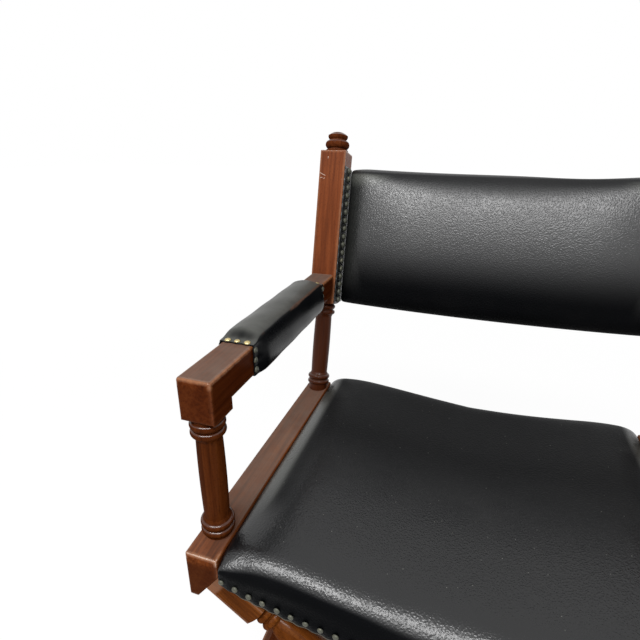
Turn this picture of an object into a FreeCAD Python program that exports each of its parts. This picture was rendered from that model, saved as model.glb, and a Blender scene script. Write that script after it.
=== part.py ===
import FreeCAD, Part
import math
import os
import Sketcher

# Folding armchair: two turned side frames on crossed legs, with a padded leather seat and back
# slung between them. Millimetres, +Z up, +Y to the back, -X is the side seen in the photograph.
# The frame is modelled open, as it stands in use. Left pieces are drawn, right ones mirrored.

SIZES = {
    # The whole chair
    "chair_width": 600.0,
    "rail_top": 465.0,
    "arm_setback": 239.2,
    # Seat rails and floor runners
    "rail_width": 41.0,
    "rail_depth": 64.4,
    "rail_length": 429.5,
    "rail_overhang": 22.3,
    "rail_round": 3.0,
    "chamfer_foot": 12.0,
    "glide_height": 8.0,
    "glide_radius": 14.0,
    "glide_inset": 45.0,
    # Crossed legs
    "leg_size": 36.0,
    "leg_step": 21.3,
    "leg_gap": 4.0,
    "leg_block": 65.0,
    "cross_block": 72.0,
    "shoulder_gap": 0.3,
    "shoulder_rise": 5.0,
    "shoulder_in": 1.0,
    "leg_neck": 12.5,
    "leg_belly": 16.8,
    "leg_belly_in": 30.0,
    "leg_ring": 17.6,
    "leg_ring_small": 16.4,
    "leg_ring_foot": 13.6,
    # Pivots of the legs
    "pivot_back": 9.0,
    "pivot_out": 5.0,
    "pin_radius": 3.0,
    "pin_grip": 20.0,
    "plug_radius": 5.0,
    "plug_depth": 4.0,
    "tang_thick": 5.0,
    "tang_eye": 8.0,
    "tang_let_in": 32.0,
    "tang_low": 14.0,
    "tang_high": 8.0,
    "slot_start": 4.5,
    "slot_roof": 24.0,
    "slot_play": 0.4,
    "rivet_radius": 2.5,
    "rivet_cover": 6.0,
    "bolt_radius": 4.0,
    "bolt_head": 10.0,
    "bolt_dome": 5.0,
    "washer_radius": 13.0,
    "running_fit": 0.06,
    "fixed_fit": 0.03,
    "washer_play": 0.15,
    "overcut": 1.0,
    # Turned rings, shared by the posts and the stiles
    "ring_radius": 20.0,
    "ring_foot": 16.5,
    "ring_rise": 9.0,
    "ring_gap": 1.0,
    "ring_base": 4.0,
    "post_shaft": 14.8,
    "post_swell": 0.8,
    "post_cove": 4.0,
    "tenon_radius": 8.0,
    "tenon_depth": 18.0,
    # Arms
    "arm_top": 215.0,
    "arm_width": 41.3,
    "arm_block_depth": 39.3,
    "arm_block_height": 52.0,
    "arm_bar_height": 37.2,
    "arm_round": 4.0,
    "dowel_radius": 5.0,
    "dowel_reach": 22.0,
    # Back stiles and finials
    "stile_size": 45.4,
    "stile_angle": 13.6,
    "stile_base": 381.4,
    "stile_top": 418.0,
    "stile_square": 158.0,
    "stile_round": 1.5,
    "stile_ring_base": 8.0,
    "finial_disc": 19.0,
    "finial_ring": 21.0,
    "finial_neck": 15.5,
    "finial_button": 17.2,
    "finial_dowel": 5.0,
    "finial_base": 4.0,
    "finial_ring_rise": 14.0,
    "finial_height": 34.5,
    "dome_flat": 1.0,
    # Arm pads
    "pad_start": 89.0,
    "pad_end": 350.0,
    "pad_skin": 2.0,
    "pad_proud": 0.4,
    "pad_crown": 11.0,
    "pad_side": 9.0,
    "pad_flat": 14.0,
    "pad_slope": 16.0,
    "pad_under": 5.0,
    # Seat
    "seat_play": 0.5,
    "hem_thick": 2.5,
    "hem_top": 7.0,
    "hem_height": 10.0,
    "seat_lip": 6.6,
    "seat_relief": 6.0,
    "leg_clear": 5.3,
    "relief_width": 50.0,
    "crest_in": 44.0,
    "bend_in": 104.0,
    "edge_drop": 1.0,
    "front_crest": 6.0,
    "front_bend": 0.0,
    "front_dip": 22.0,
    "rear_crest": 21.0,
    "rear_bend": 23.0,
    "rear_dip": 0.5,
    "seat_sag": 12.0,
    "seat_roll": 24.0,
    "roll_drop": 13.0,
    "seat_front": 24.0,
    "border_thick": 2.5,
    "border_play": 0.3,
    "border_end": 33.0,
    "border_sag": 33.0,
    "border_height": 22.0,
    "border_in": 3.0,
    # Back cushion
    "back_bottom": 161.0,
    "back_top": 393.0,
    "back_dip": 3.0,
    "back_sag": 5.0,
    "strip_thick": 2.5,
    "strip_front": 21.2,
    "strip_depth": 43.9,
    "back_end_half": 5.0,
    "back_half": 14.0,
    "back_end_set": 18.0,
    "back_set": 15.0,
    "back_end_crown": 1.0,
    "back_crown": 5.0,
    "back_rear_crown": 2.5,
    "back_end_round": 3.4,
    "back_round": 9.1,
    "back_swell": 60.0,
    # Domed nails
    "nail_radius": 4.4,
    "nail_dome": 2.4,
    "nail_shank": 9.0,
    "stud_shank": 2.5,
    "nail_wire": 1.5,
    "nail_edge": 5.0,
    "seat_pitch": 16.5,
    "back_pitch": 14.4,
    "back_nail_in": 22.0,
    "arm_pitch": 13.0,
    "arm_nail_in": 6.0,
}

# Where the lofted sections stand, as shares of a roll, a slope or a swelling
ROLL_STEPS = (0.0, 0.15, 0.5, 1.0)
SLOPE_STEPS = (0.0, 0.5, 1.0)
SWELL_STEPS = (0.0, 0.3, 1.0)
SAME_PLACE = 0.01

doc = FreeCAD.newDocument("FoldingArmchair")
sheet = doc.addObject("Spreadsheet::Sheet", "Sizes")
for row, (alias, value) in enumerate(SIZES.items(), start=1):
    sheet.set(f"A{row}", str(value))
    sheet.setAlias(f"A{row}", alias)
doc.recompute()
places = doc.addObject("App::VarSet", "Places")
nodes = []


class Dim:
    """A size with its value and the sheet expression that gives it."""

    def __init__(self, value, text):
        self.value = value
        self.text = text

    @staticmethod
    def of(item):
        if isinstance(item, Dim):
            return item
        return Dim(float(item), f"({float(item)})")

    def __add__(self, other):
        other = Dim.of(other)
        return Dim(self.value + other.value, f"({self.text} + {other.text})")

    def __sub__(self, other):
        other = Dim.of(other)
        return Dim(self.value - other.value, f"({self.text} - {other.text})")

    def __mul__(self, other):
        other = Dim.of(other)
        return Dim(self.value * other.value, f"({self.text} * {other.text})")

    def __truediv__(self, other):
        other = Dim.of(other)
        return Dim(self.value / other.value, f"({self.text} / {other.text})")

    def __neg__(self):
        return Dim(-self.value, f"(-{self.text})")

    def __radd__(self, other):
        return Dim.of(other) + self

    def __rsub__(self, other):
        return Dim.of(other) - self

    def __rmul__(self, other):
        return Dim.of(other) * self


def size(alias):
    return Dim(SIZES[alias], f"Sizes.{alias}")


def derived(name, dim):
    """Keep a worked-out size as a named value of the document."""
    places.addProperty("App::PropertyFloat", name)
    places.setExpression(name, dim.text)
    return Dim(dim.value, f"Places.{name}")


def sine(angle):
    return Dim(math.sin(math.radians(angle.value)), f"sin({angle.text})")


def cosine(angle):
    return Dim(math.cos(math.radians(angle.value)), f"cos({angle.text})")


def root(dim):
    return Dim(math.sqrt(dim.value), f"sqrt({dim.text})")


# Places that several pieces share

half_width = derived("half_width", size("chair_width") / 2)
rail_front = derived("rail_front", -(size("arm_setback") + size("rail_overhang")))
rail_rear = derived("rail_rear", rail_front + size("rail_length"))
rail_middle = derived("rail_middle", rail_front + size("rail_length") / 2)
arm_front = derived("arm_front", -size("arm_setback"))
rail_bottom = derived("rail_bottom", size("rail_top") - size("rail_depth"))
cross_height = derived("cross_height", (size("rail_top") + size("glide_height")) / 2)

# The leg meets the rail's chamfer square, so its slope follows from the width and the heights
leg_rise = derived("leg_rise", size("leg_step") + size("leg_size") / 2)
half_span = derived("half_span", half_width - size("chamfer_foot"))
half_drop = derived("half_drop", rail_bottom - cross_height)
leg_reach = derived("leg_reach", root(half_span * half_span + half_drop * half_drop))
leg_angle = derived("leg_angle", Dim(
    math.degrees(math.acos(-leg_rise.value / leg_reach.value) - math.atan(half_span.value / half_drop.value)),
    f"acos(-{leg_rise.text} / {leg_reach.text}) - atan({half_span.text} / {half_drop.text})",
))
leg_sin = derived("leg_sin", sine(leg_angle))
leg_cos = derived("leg_cos", cosine(leg_angle))
leg_end_x = derived("leg_end_x", half_span - leg_rise * leg_sin)
leg_half = derived("leg_half", leg_end_x / leg_cos)
chamfer_rise = derived("chamfer_rise", (size("rail_width") - size("chamfer_foot")) * leg_cos / leg_sin)
pivot_along = derived("pivot_along", leg_half + size("pivot_back"))
pivot_across = derived("pivot_across", size("leg_size") / 2 + size("pivot_out"))
pivot_x = derived("pivot_x", pivot_along * leg_cos + pivot_across * leg_sin)
pivot_z = derived("pivot_z", pivot_along * leg_sin - pivot_across * leg_cos)
rake_sin = derived("rake_sin", sine(size("stile_angle")))
rake_cos = derived("rake_cos", cosine(size("stile_angle")))

# Distance of each leg's middle from the rail ends: A legs run outside the B legs
leg_inset = {
    "a": derived("leg_inset_a", size("leg_size") / 2),
    "b": derived("leg_inset_b", size("leg_size") * 1.5 + size("leg_gap")),
}


# Helpers that draw and place


def bind(thing, prop, dim):
    thing.setExpression(prop, Dim.of(dim).text)


def put(thing, x, y, z, axis=None, angle=None):
    """Give an object its place, and a turn about one axis."""
    spot = FreeCAD.Vector(Dim.of(x).value, Dim.of(y).value, Dim.of(z).value)
    turn = FreeCAD.Rotation()
    if axis:
        turn = FreeCAD.Rotation(FreeCAD.Vector(*axis), Dim.of(angle).value)
    thing.Placement = FreeCAD.Placement(spot, turn)
    for letter, dim in zip("xyz", (x, y, z)):
        bind(thing, f"Placement.Base.{letter}", dim)
    if isinstance(angle, Dim):
        bind(thing, "Placement.Rotation.Angle", angle)
    return thing


def node(thing, label):
    """Hand an object in as a sub-part."""
    thing.Label = label
    nodes.append(thing)
    return thing


def new_body(name):
    return doc.addObject("PartDesign::Body", name)


def origin_plane(body, role):
    return next(item for item in body.Origin.OriginFeatures if item.Role == role)


def outline(body, name, role, corners):
    """A closed sketch. A corner is (across, up), or (across, up, bulge) where an arc leads to it."""
    plan = body.newObject("Sketcher::SketchObject", name)
    plan.AttachmentSupport = [(origin_plane(body, role), "")]
    plan.MapMode = "FlatFace"
    corners = [[Dim.of(item) for item in corner] for corner in corners]
    ends = []
    for index, corner in enumerate(corners):
        before = corners[index - 1]
        start = FreeCAD.Vector(before[0].value, before[1].value, 0)
        end = FreeCAD.Vector(corner[0].value, corner[1].value, 0)
        if len(corner) == 2:
            plan.addGeometry(Part.LineSegment(start, end))
            ends.append((1, 2))
            continue
        run = end - start
        aside = FreeCAD.Vector(run.y, -run.x, 0).normalize()
        middle = (start + end) * 0.5 + aside * corner[2].value
        anticlockwise = corner[2].value > 0
        first, last = (start, end) if anticlockwise else (end, start)
        plan.addGeometry(Part.Arc(first, middle, last))
        ends.append((1, 2) if anticlockwise else (2, 1))
    count = len(corners)
    for index, corner in enumerate(corners):
        follow = (index + 1) % count
        plan.addConstraint(Sketcher.Constraint("Coincident", index, ends[index][1], follow, ends[follow][0]))
        for kind, dim in zip(("DistanceX", "DistanceY"), corner):
            number = plan.addConstraint(Sketcher.Constraint(kind, -1, 1, index, ends[index][1], dim.value))
            bind(plan, f"Constraints[{number}]", dim)
        if len(corner) == 3:
            across = corner[0] - corners[index - 1][0]
            up = corner[1] - corners[index - 1][1]
            bulge = corner[2] if corner[2].value > 0 else -corner[2]
            radius = ((across * across + up * up) / 4 + bulge * bulge) / (bulge * 2)
            number = plan.addConstraint(Sketcher.Constraint("Radius", index, radius.value))
            bind(plan, f"Constraints[{number}]", radius)
    return plan


def pad(body, plan, length, side="One side", reverse=False):
    feature = body.newObject("PartDesign::Pad", f"{plan.Name}_pad")
    feature.Profile = plan
    feature.SideType = side
    feature.Reversed = reverse
    bind(feature, "Length", length)
    return feature


def revolve(body, plan, kind="Revolution"):
    """Turn a sketch about its own upright axis, adding or cutting."""
    feature = body.newObject(f"PartDesign::{kind}", f"{plan.Name}_turn")
    feature.Profile = plan
    feature.ReferenceAxis = (plan, ["V_Axis"])
    feature.Angle = 360
    return feature


def soften(body, radius, chosen):
    """Round the edges of the body's tip that a test picks out."""
    doc.recompute()
    tip = body.Tip
    names = [f"Edge{number}" for number, edge in enumerate(tip.Shape.Edges, start=1) if chosen(edge)]
    feature = body.newObject("PartDesign::Fillet", f"{body.Name}_soft")
    feature.Base = (tip, names)
    bind(feature, "Radius", radius)
    return feature


def box(name, length, width, height):
    block = doc.addObject("Part::Box", name)
    for prop, dim in zip(("Length", "Width", "Height"), (length, width, height)):
        bind(block, prop, dim)
    return block


def rod(name, radius, height):
    cylinder = doc.addObject("Part::Cylinder", name)
    bind(cylinder, "Radius", radius)
    bind(cylinder, "Height", height)
    return cylinder


def cut(name, base, tools):
    joined = doc.addObject("Part::MultiFuse", f"{name}_tools")
    joined.Shapes = tools
    result = doc.addObject("Part::Cut", name)
    result.Base = base
    result.Tool = joined
    return result


def group(name, pieces):
    joined = doc.addObject("Part::Compound", name)
    joined.Links = pieces
    return joined


def mirrored(name, source, normal=(1, 0, 0), spot=None):
    """A mirror image, across the middle of the chair unless a plane is given."""
    image = doc.addObject("Part::Mirroring", name)
    image.Source = source
    image.Normal = FreeCAD.Vector(*normal)
    if spot is not None:
        image.Base = FreeCAD.Vector(0, spot.value, 0)
        bind(image, "Base.y", spot)
    return image


def pair(source, name):
    """Hand in a left piece and its right mirror image."""
    node(source, f"{name}_left")
    node(mirrored(f"{name}_image", source), f"{name}_right")


def double_ring(foot, direction):
    """Outline corners of two turned rings that start at a height and go up or down."""
    radius = size("ring_foot")
    swell = size("ring_radius") - radius
    rise = size("ring_rise") * direction
    gap = size("ring_gap") * direction
    bulge = swell * direction
    return [
        (radius, foot),
        (radius, foot + rise, bulge),
        (radius, foot + rise + gap),
        (radius, foot + rise * 2 + gap, bulge),
    ]


def dome_bulge(radius, rise):
    """How far the arc of a dome stands off the straight line from its rim to its top."""
    ball = (radius * radius + rise * rise) / (rise * 2)
    return ball - root(ball * ball - (radius * radius + rise * rise) / 4)


def flat_along(edge, axis, place):
    """True where both ends of an edge lie at one coordinate."""
    return all(abs(getattr(vertex.Point, axis) - place) < SAME_PLACE for vertex in edge.Vertexes)


# Seat rails and runners


def rail_blank(name):
    """The five-sided bar, drawn from its outer top corner at the front."""
    body = new_body(name)
    width, depth = size("rail_width"), size("rail_depth")
    section = outline(body, f"{name}_section", "XZ_Plane", [
        (0, 0),
        (width, 0),
        (width, chamfer_rise - depth),
        (size("chamfer_foot"), -depth),
        (0, -depth),
    ])
    pad(body, section, size("rail_length"), reverse=True)
    ends = (0, size("rail_length").value)

    def worn(edge):
        top = flat_along(edge, "z", 0)
        upright = flat_along(edge, "x", 0) or flat_along(edge, "x", width.value)
        at_end = any(flat_along(edge, "y", end) for end in ends)
        return top or (upright and at_end)

    soften(body, size("rail_round"), worn)
    return body


def pivot_tools(name, legs):
    """Cutters for the tang slots, pin holes and plug seats, and the pins and plugs that fill them."""
    inset = leg_inset[legs]
    across = half_width - pivot_x
    height = cross_height + pivot_z - size("rail_top")
    slot_width = size("tang_thick") + size("slot_play") * 2
    pin_length = inset + size("pin_grip") - size("plug_depth")
    past = size("overcut")
    cutters, pins, plugs = [], [], []
    for end in ("front", "rear"):
        way = -1 if end == "front" else 1
        face = Dim.of(0) if end == "front" else size("rail_length")
        slot = box(
            f"{name}_{end}_slot", size("rail_width") - size("slot_start") + past, slot_width,
            size("rail_depth") - size("slot_roof") + past,
        )
        middle = face - inset * way
        cutters.append(put(slot, size("slot_start"), middle - slot_width / 2, -size("rail_depth") - past))
        rods = (
            (cutters, "pin_hole", size("pin_radius") + size("fixed_fit"), pin_length, size("plug_depth")),
            (cutters, "plug_seat", size("plug_radius") + size("fixed_fit"), size("plug_depth") + past, -past),
            (pins, "pin", size("pin_radius"), pin_length, size("plug_depth")),
            (plugs, "plug", size("plug_radius"), size("plug_depth"), Dim.of(0)),
        )
        for kept, kind, radius, length, start in rods:
            piece = rod(f"{name}_{end}_{kind}", radius, length)
            put(piece, across, face - start * way, height, (way, 0, 0), 90)
            kept.append(piece)
    return cutters, pins, plugs


def socket_tools(name):
    """Cutters in the rail for the tenons of the post and the raked stile."""
    depth = size("tenon_depth") + size("overcut")
    radius = size("tenon_radius") + size("fixed_fit")
    post = rod(f"{name}_post_socket", radius, depth + size("overcut"))
    put(post, size("arm_width") / 2, size("rail_overhang") + size("arm_block_depth") / 2, -depth)
    stile = rod(f"{name}_stile_socket", radius, depth + radius)
    put(
        stile, size("stile_size") / 2, size("rail_overhang") + size("stile_base") - depth * rake_sin,
        -depth * rake_cos, (-1, 0, 0), size("stile_angle"),
    )
    return [post, stile]


def rails_and_runners():
    for legs, rail_side, runner_side in (("a", "left", "right"), ("b", "right", "left")):
        for kind in ("rail", "runner"):
            name = f"{kind}_{legs}"
            blank = rail_blank(f"{name}_blank")
            cutters, pins, plugs = pivot_tools(name, legs)
            if kind == "rail":
                cutters += socket_tools(name)
            pieces = {
                "seat_rail" if kind == "rail" else "runner": cut(f"{name}_bar", blank, cutters),
                f"{kind}_pins": group(f"{name}_pins", pins),
                f"{kind}_plugs": group(f"{name}_plugs", plugs),
            }
            side = rail_side if kind == "rail" else runner_side
            for label, piece in pieces.items():
                if kind == "rail":
                    put(piece, -half_width, rail_front, size("rail_top"))
                else:
                    put(piece, half_width, rail_front, size("glide_height"), (0, 1, 0), 180)
                shown = piece if legs == "a" else mirrored(f"{name}_{label}_image", piece)
                node(shown, f"{label}_{side}")


def glides():
    feet = []
    ends = {"front": rail_front + size("glide_inset"), "rear": rail_rear - size("glide_inset")}
    for end, place in ends.items():
        foot = rod(f"glide_{end}", size("glide_radius"), size("glide_height"))
        feet.append(put(foot, size("rail_width") / 2 - half_width, place, 0))
    pair(group("glides", feet), "runner_glides")


# Crossed legs, drawn upright with the crossing at the origin


def leg_profile():
    """Corners of the turned hollow of one half leg, from the crossing to the end block and back."""
    blank = size("leg_size")
    low = size("cross_block") / 2
    high = leg_half - size("leg_block")
    shoulder = blank / 2 - size("shoulder_in")
    neck, belly, foot = size("leg_neck"), size("leg_belly"), size("leg_ring_foot")
    rise, gap = size("ring_rise"), size("ring_gap")
    small_ring = high - gap * 2
    large_ring = small_ring - rise - gap
    inner_ring = low + gap * 2
    small_bulge = foot - size("leg_ring_small")
    large_bulge = foot - size("leg_ring")
    upper_neck = large_ring - rise - gap * 2
    lower_neck = inner_ring + rise + gap * 2
    return [
        (blank, low - size("shoulder_rise")),
        (blank, high + size("shoulder_rise")),
        (shoulder, high),
        (foot, small_ring),
        (foot, small_ring - rise, small_bulge),
        (foot, large_ring),
        (foot, large_ring - rise, large_bulge),
        (neck, upper_neck),
        (belly, upper_neck - size("leg_belly_in"), (neck - belly) / 2),
        (neck, lower_neck, (neck - belly) / 2),
        (foot, inner_ring + rise),
        (foot, inner_ring, large_bulge),
        (shoulder, low),
    ]


def rivet(name, way, legs, play):
    """A rivet through a tang, let in from the face turned to the other pair of legs."""
    side = 1 if legs == "a" else -1
    pin = rod(name, size("rivet_radius") + play, size("leg_size") - size("rivet_cover"))
    across = (size("tang_high") - size("tang_low")) / 2 * way
    along = (leg_half - size("tang_let_in") / 2) * way
    return put(pin, across, size("leg_size") / 2 * side, along, (side, 0, 0), 90)


def leg(name, legs):
    """One turned leg with its tongue slots, rivet holes and pivot hole."""
    body = new_body(f"{name}_blank")
    half = size("leg_size") / 2
    corners = [(-half, -half), (half, -half), (half, half), (-half, half)]
    square = outline(body, f"{name}_square", "XY_Plane", corners)
    pad(body, square, (leg_half - size("shoulder_gap")) * 2, side="Symmetric")
    turning = revolve(body, outline(body, f"{name}_hollow", "XZ_Plane", leg_profile()), "Groove")
    other_half = body.newObject("PartDesign::Mirrored", f"{name}_mirror")
    other_half.Originals = [turning]
    other_half.MirrorPlane = (origin_plane(body, "XY_Plane"), [""])
    body.Tip = other_half
    fit, past = size("fixed_fit"), size("overcut")
    bolt_fit = fit if legs == "a" else size("running_fit")
    hole = rod(f"{name}_bolt_hole", size("bolt_radius") + bolt_fit, size("leg_size") + past * 2)
    tools = [put(hole, 0, half + past, 0, (1, 0, 0), 90)]
    for way in (1, -1):
        slot = box(
            f"{name}_slot_{way + 1}", size("tang_low") + size("tang_high") + fit * 2,
            size("tang_thick") + fit * 2, size("tang_let_in") + past,
        )
        low = -(size("tang_low") if way == 1 else size("tang_high")) - fit
        foot = leg_half - size("tang_let_in") if way == 1 else -leg_half - past
        tools.append(put(slot, low, -(size("tang_thick") / 2 + fit), foot))
        tools.append(rivet(f"{name}_rivet_hole_{way + 1}", way, legs, fit))
    return cut(f"{name}_bar", body, tools)


def tang(name, way, legs):
    """The steel plate of one leg end: a tongue let into the leg and an eye inside the rail."""
    body = new_body(f"{name}_plate")
    eye = size("tang_eye")
    tongue_end = leg_half - size("tang_let_in")
    quarter_bulge = eye * (1 - math.sqrt(0.5))
    plan = outline(body, f"{name}_outline", "XZ_Plane", [
        (-size("tang_low"), tongue_end),
        (size("tang_high"), tongue_end),
        (size("tang_high"), leg_half),
        (-pivot_across, pivot_along + eye),
        (-pivot_across - eye, pivot_along, quarter_bulge),
        (-pivot_across, pivot_along - eye, quarter_bulge),
        (-size("tang_low"), pivot_along - eye),
    ])
    pad(body, plan, size("tang_thick"), side="Symmetric")
    past = size("overcut")
    bore = rod(f"{name}_bore", size("pin_radius") + size("running_fit"), size("tang_thick") + past * 2)
    put(bore, -pivot_across, size("tang_thick") / 2 + past, pivot_along, (1, 0, 0), 90)
    plate = cut(f"{name}_cut", body, [bore, rivet(f"{name}_hole", 1, legs, size("fixed_fit"))])
    return put(plate, 0, 0, 0, (0, 1, 0), 0 if way == 1 else 180)


def lean(piece, legs):
    """Tip upright leg pieces into the slope that runs down from the left rail."""
    return put(piece, 0, rail_front + leg_inset[legs], cross_height, (0, -1, 0), leg_tilt)


def legs_and_tangs():
    for legs in ("a", "b"):
        tangs = [tang(f"leg_{legs}_tang_{way + 1}", way, legs) for way in (1, -1)]
        rivets = [rivet(f"leg_{legs}_rivet_{way + 1}", way, legs, Dim.of(0)) for way in (1, -1)]
        fronts = {
            "leg": lean(leg(f"leg_{legs}", legs), legs),
            "tangs": lean(group(f"leg_{legs}_tangs_front", tangs), legs),
            "rivets": lean(group(f"leg_{legs}_rivets_front", rivets), legs),
        }
        for kind, front in fronts.items():
            if legs == "b":
                front = mirrored(f"leg_b_{kind}_image", front)
            rear = mirrored(f"leg_{legs}_{kind}_rear", front, (0, 1, 0), rail_middle)
            if kind == "leg":
                node(front, f"front_leg_{legs}")
                node(rear, f"rear_leg_{legs}")
            else:
                node(group(f"leg_{legs}_{kind}_set", [front, rear]), f"leg_{legs}_{kind}")


def pivot_bolts():
    """The bolt of each crossing, its washer between the legs and its cap nut behind them."""
    stack = size("leg_size") * 2 + size("leg_gap")
    nut = size("bolt_dome")
    bolt = new_body("pivot_bolt")
    revolve(bolt, outline(bolt, "bolt_section", "XZ_Plane", [
        (0, -stack - nut),
        (size("bolt_radius"), -stack - nut),
        (size("bolt_radius"), 0),
        (size("bolt_head"), 0),
        (size("dome_flat"), size("bolt_dome"), dome_bulge(size("bolt_head"), size("bolt_dome"))),
        (0, size("bolt_dome")),
    ]))
    put(bolt, 0, rail_front, cross_height, (1, 0, 0), 90)
    node(bolt, "front_pivot_bolt")
    node(mirrored("rear_bolt_image", bolt, (0, 1, 0), rail_middle), "rear_pivot_bolt")

    cap = new_body("cap_nut")
    bore = size("bolt_radius") + size("fixed_fit")
    revolve(cap, outline(cap, "nut_section", "XZ_Plane", [
        (bore, 0),
        (size("bolt_head"), 0),
        (size("bolt_radius") + size("dome_flat"), nut, dome_bulge(size("bolt_head"), nut)),
        (bore, nut),
    ]))
    put(cap, 0, rail_front + stack + size("washer_play"), cross_height, (-1, 0, 0), 90)
    node(group("cap_nuts", [cap, mirrored("rear_nut_image", cap, (0, 1, 0), rail_middle)]), "pivot_nuts")

    ring = new_body("washer")
    thick = size("leg_gap") - size("washer_play") * 2
    revolve(ring, outline(ring, "washer_section", "XZ_Plane", [
        (bore, 0),
        (size("washer_radius"), 0),
        (size("washer_radius"), thick),
        (bore, thick),
    ]))
    put(ring, 0, rail_front + size("leg_size") + size("washer_play"), cross_height, (-1, 0, 0), 90)
    rear_ring = mirrored("rear_washer_image", ring, (0, 1, 0), rail_middle)
    node(group("washers", [ring, rear_ring]), "pivot_washers")


# Side frames


def post_height():
    return size("arm_top") - size("arm_block_height")


def front_posts():
    """The turned post between rail and arm, with a round tenon at each end."""
    body = new_body("front_post")
    base, high = size("ring_base"), post_height()
    rings = size("ring_rise") * 2 + size("ring_gap")
    shaft, cove = size("post_shaft"), size("post_cove")
    tenon, depth = size("tenon_radius"), size("tenon_depth")
    revolve(body, outline(body, "post_section", "XZ_Plane", [
        (0, -depth),
        (tenon, -depth),
        (tenon, 0),
        (size("ring_foot"), 0),
        *double_ring(base, 1),
        (shaft, base + rings + cove),
        (shaft, high - base - rings - cove, size("post_swell")),
        *double_ring(high - base - rings, 1),
        (size("ring_foot"), high),
        (tenon, high),
        (tenon, high + depth),
        (0, high + depth),
    ]))
    put(body, size("arm_width") / 2 - half_width, arm_front + size("arm_block_depth") / 2, size("rail_top"))
    pair(body, "front_post")


def on_stile(x, back, along):
    """A place given in the raked line of the stile: sideways, towards the back, and up its length."""
    return (
        x,
        arm_front + size("stile_base") + back * rake_cos + along * rake_sin,
        size("rail_top") - back * rake_sin + along * rake_cos,
    )


def rake(piece, x, back=0, along=0):
    """Set an upright piece into the rake of the stile."""
    spot = on_stile(Dim.of(x), Dim.of(back), Dim.of(along))
    return put(piece, *spot, (-1, 0, 0), size("stile_angle"))


def back_stiles():
    """The stile: a square bar turned below the arm, cut level where it stands on the rail."""
    body = new_body("back_stile")
    bar = size("stile_size")
    half = bar / 2
    square_from, high = stile_square_run, stile_run
    below, past = size("tenon_depth"), size("overcut")
    corners = [(-half, -half), (half, -half), (half, half), (-half, half)]
    blank = pad(body, outline(body, "stile_square", "XY_Plane", corners), high, side="Two sides")
    bind(blank, "Length2", below)

    def worn(edge):
        top = flat_along(edge, "z", high.value)
        long_edge = abs(edge.Vertexes[0].Z - edge.Vertexes[-1].Z) > high.value / 2
        return top or long_edge

    soften(body, size("stile_round"), worn)
    rings = size("ring_rise") * 2 + size("ring_gap")
    shaft, cove = size("post_shaft"), size("post_cove")
    base = size("stile_ring_base")
    top_ring = square_from - size("ring_gap") * 2
    revolve(body, outline(body, "stile_hollow", "XZ_Plane", [
        (bar, -below - past),
        (bar, square_from + size("shoulder_rise")),
        (half - size("shoulder_in"), square_from),
        *double_ring(top_ring, -1),
        (shaft, top_ring - rings - cove),
        (shaft, base + rings + cove, -size("post_swell")),
        *double_ring(base + rings, -1),
        (size("ring_foot"), -below - past),
    ]), "Groove")
    slope = rake_sin / rake_cos
    level = body.newObject("PartDesign::Pocket", "stile_level")
    level.Profile = outline(body, "stile_foot", "YZ_Plane", [
        (-bar, -bar * slope),
        (-bar, -below - past - bar),
        (bar, -below - past - bar),
        (bar, bar * slope),
    ])
    level.SideType = "Symmetric"
    bind(level, "Length", bar * 2)
    revolve(body, outline(body, "stile_tenon", "XZ_Plane", [
        (0, -below),
        (size("tenon_radius"), -below),
        (size("tenon_radius"), base),
        (0, base),
    ]))
    holes = [rake(finial_hole(), half - half_width), dowel("stile")]
    pair(cut("stile_bar", rake(body, half - half_width), holes), "back_stile")


def finial_hole():
    """The hole for the finial's dowel, in the line of the stile."""
    hole = new_body("finial_hole_core")
    foot = stile_run - size("tenon_depth") - size("overcut")
    top = stile_run + size("overcut")
    radius = size("finial_dowel") + size("fixed_fit")
    revolve(hole, outline(hole, "finial_hole_section", "XZ_Plane", [
        (0, foot),
        (radius, foot),
        (radius, top),
        (0, top),
    ]))
    return hole


def finials():
    """The turned knob on the stile: a disc, a ring and a domed button."""
    body = new_body("finial")
    depth, dowel_radius = size("tenon_depth"), size("finial_dowel")
    disc, neck = size("finial_disc"), size("finial_neck")
    base, rise, high = size("finial_base"), size("finial_ring_rise"), size("finial_height")
    gap = size("ring_gap")
    ring_top = base + gap * 2 + rise
    waist = ring_top + gap * 2
    crown = (high - waist) / 2 + waist
    revolve(body, outline(body, "finial_section", "XZ_Plane", [
        (0, -depth),
        (dowel_radius, -depth),
        (dowel_radius, 0),
        (disc, 0),
        (disc, base, gap / 2),
        (neck, base + gap),
        (neck, base + gap * 2),
        (neck, ring_top, size("finial_ring") - neck),
        (neck - gap, ring_top + gap),
        (neck - gap, waist),
        (size("finial_button"), crown, gap),
        (size("dome_flat"), high, dome_bulge(size("finial_button"), high - crown)),
        (0, high),
    ]))
    pair(rake(body, size("stile_size") / 2 - half_width, 0, stile_run), "finial")


def arm_rear(height):
    """Where the stile's raked front face stands at a height above the rail, from the arm's front."""
    return size("stile_base") - size("stile_size") / 2 / rake_cos + height * rake_sin / rake_cos


def dowel(use):
    """The dowel between arm and stile, or the hole for it."""
    play = Dim.of(0) if use == "pin" else size("fixed_fit")
    extra = Dim.of(0) if use == "pin" else size("overcut")
    height = size("arm_top") - size("arm_bar_height") / 2
    reach = size("dowel_reach") + extra
    pin = rod(f"arm_dowel_{use}", size("dowel_radius") + play, reach * 2)
    middle = arm_front + arm_rear(height)
    return put(
        pin, size("arm_width") / 2 - half_width, middle - reach, size("rail_top") + height, (-1, 0, 0), 90,
    )


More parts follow.
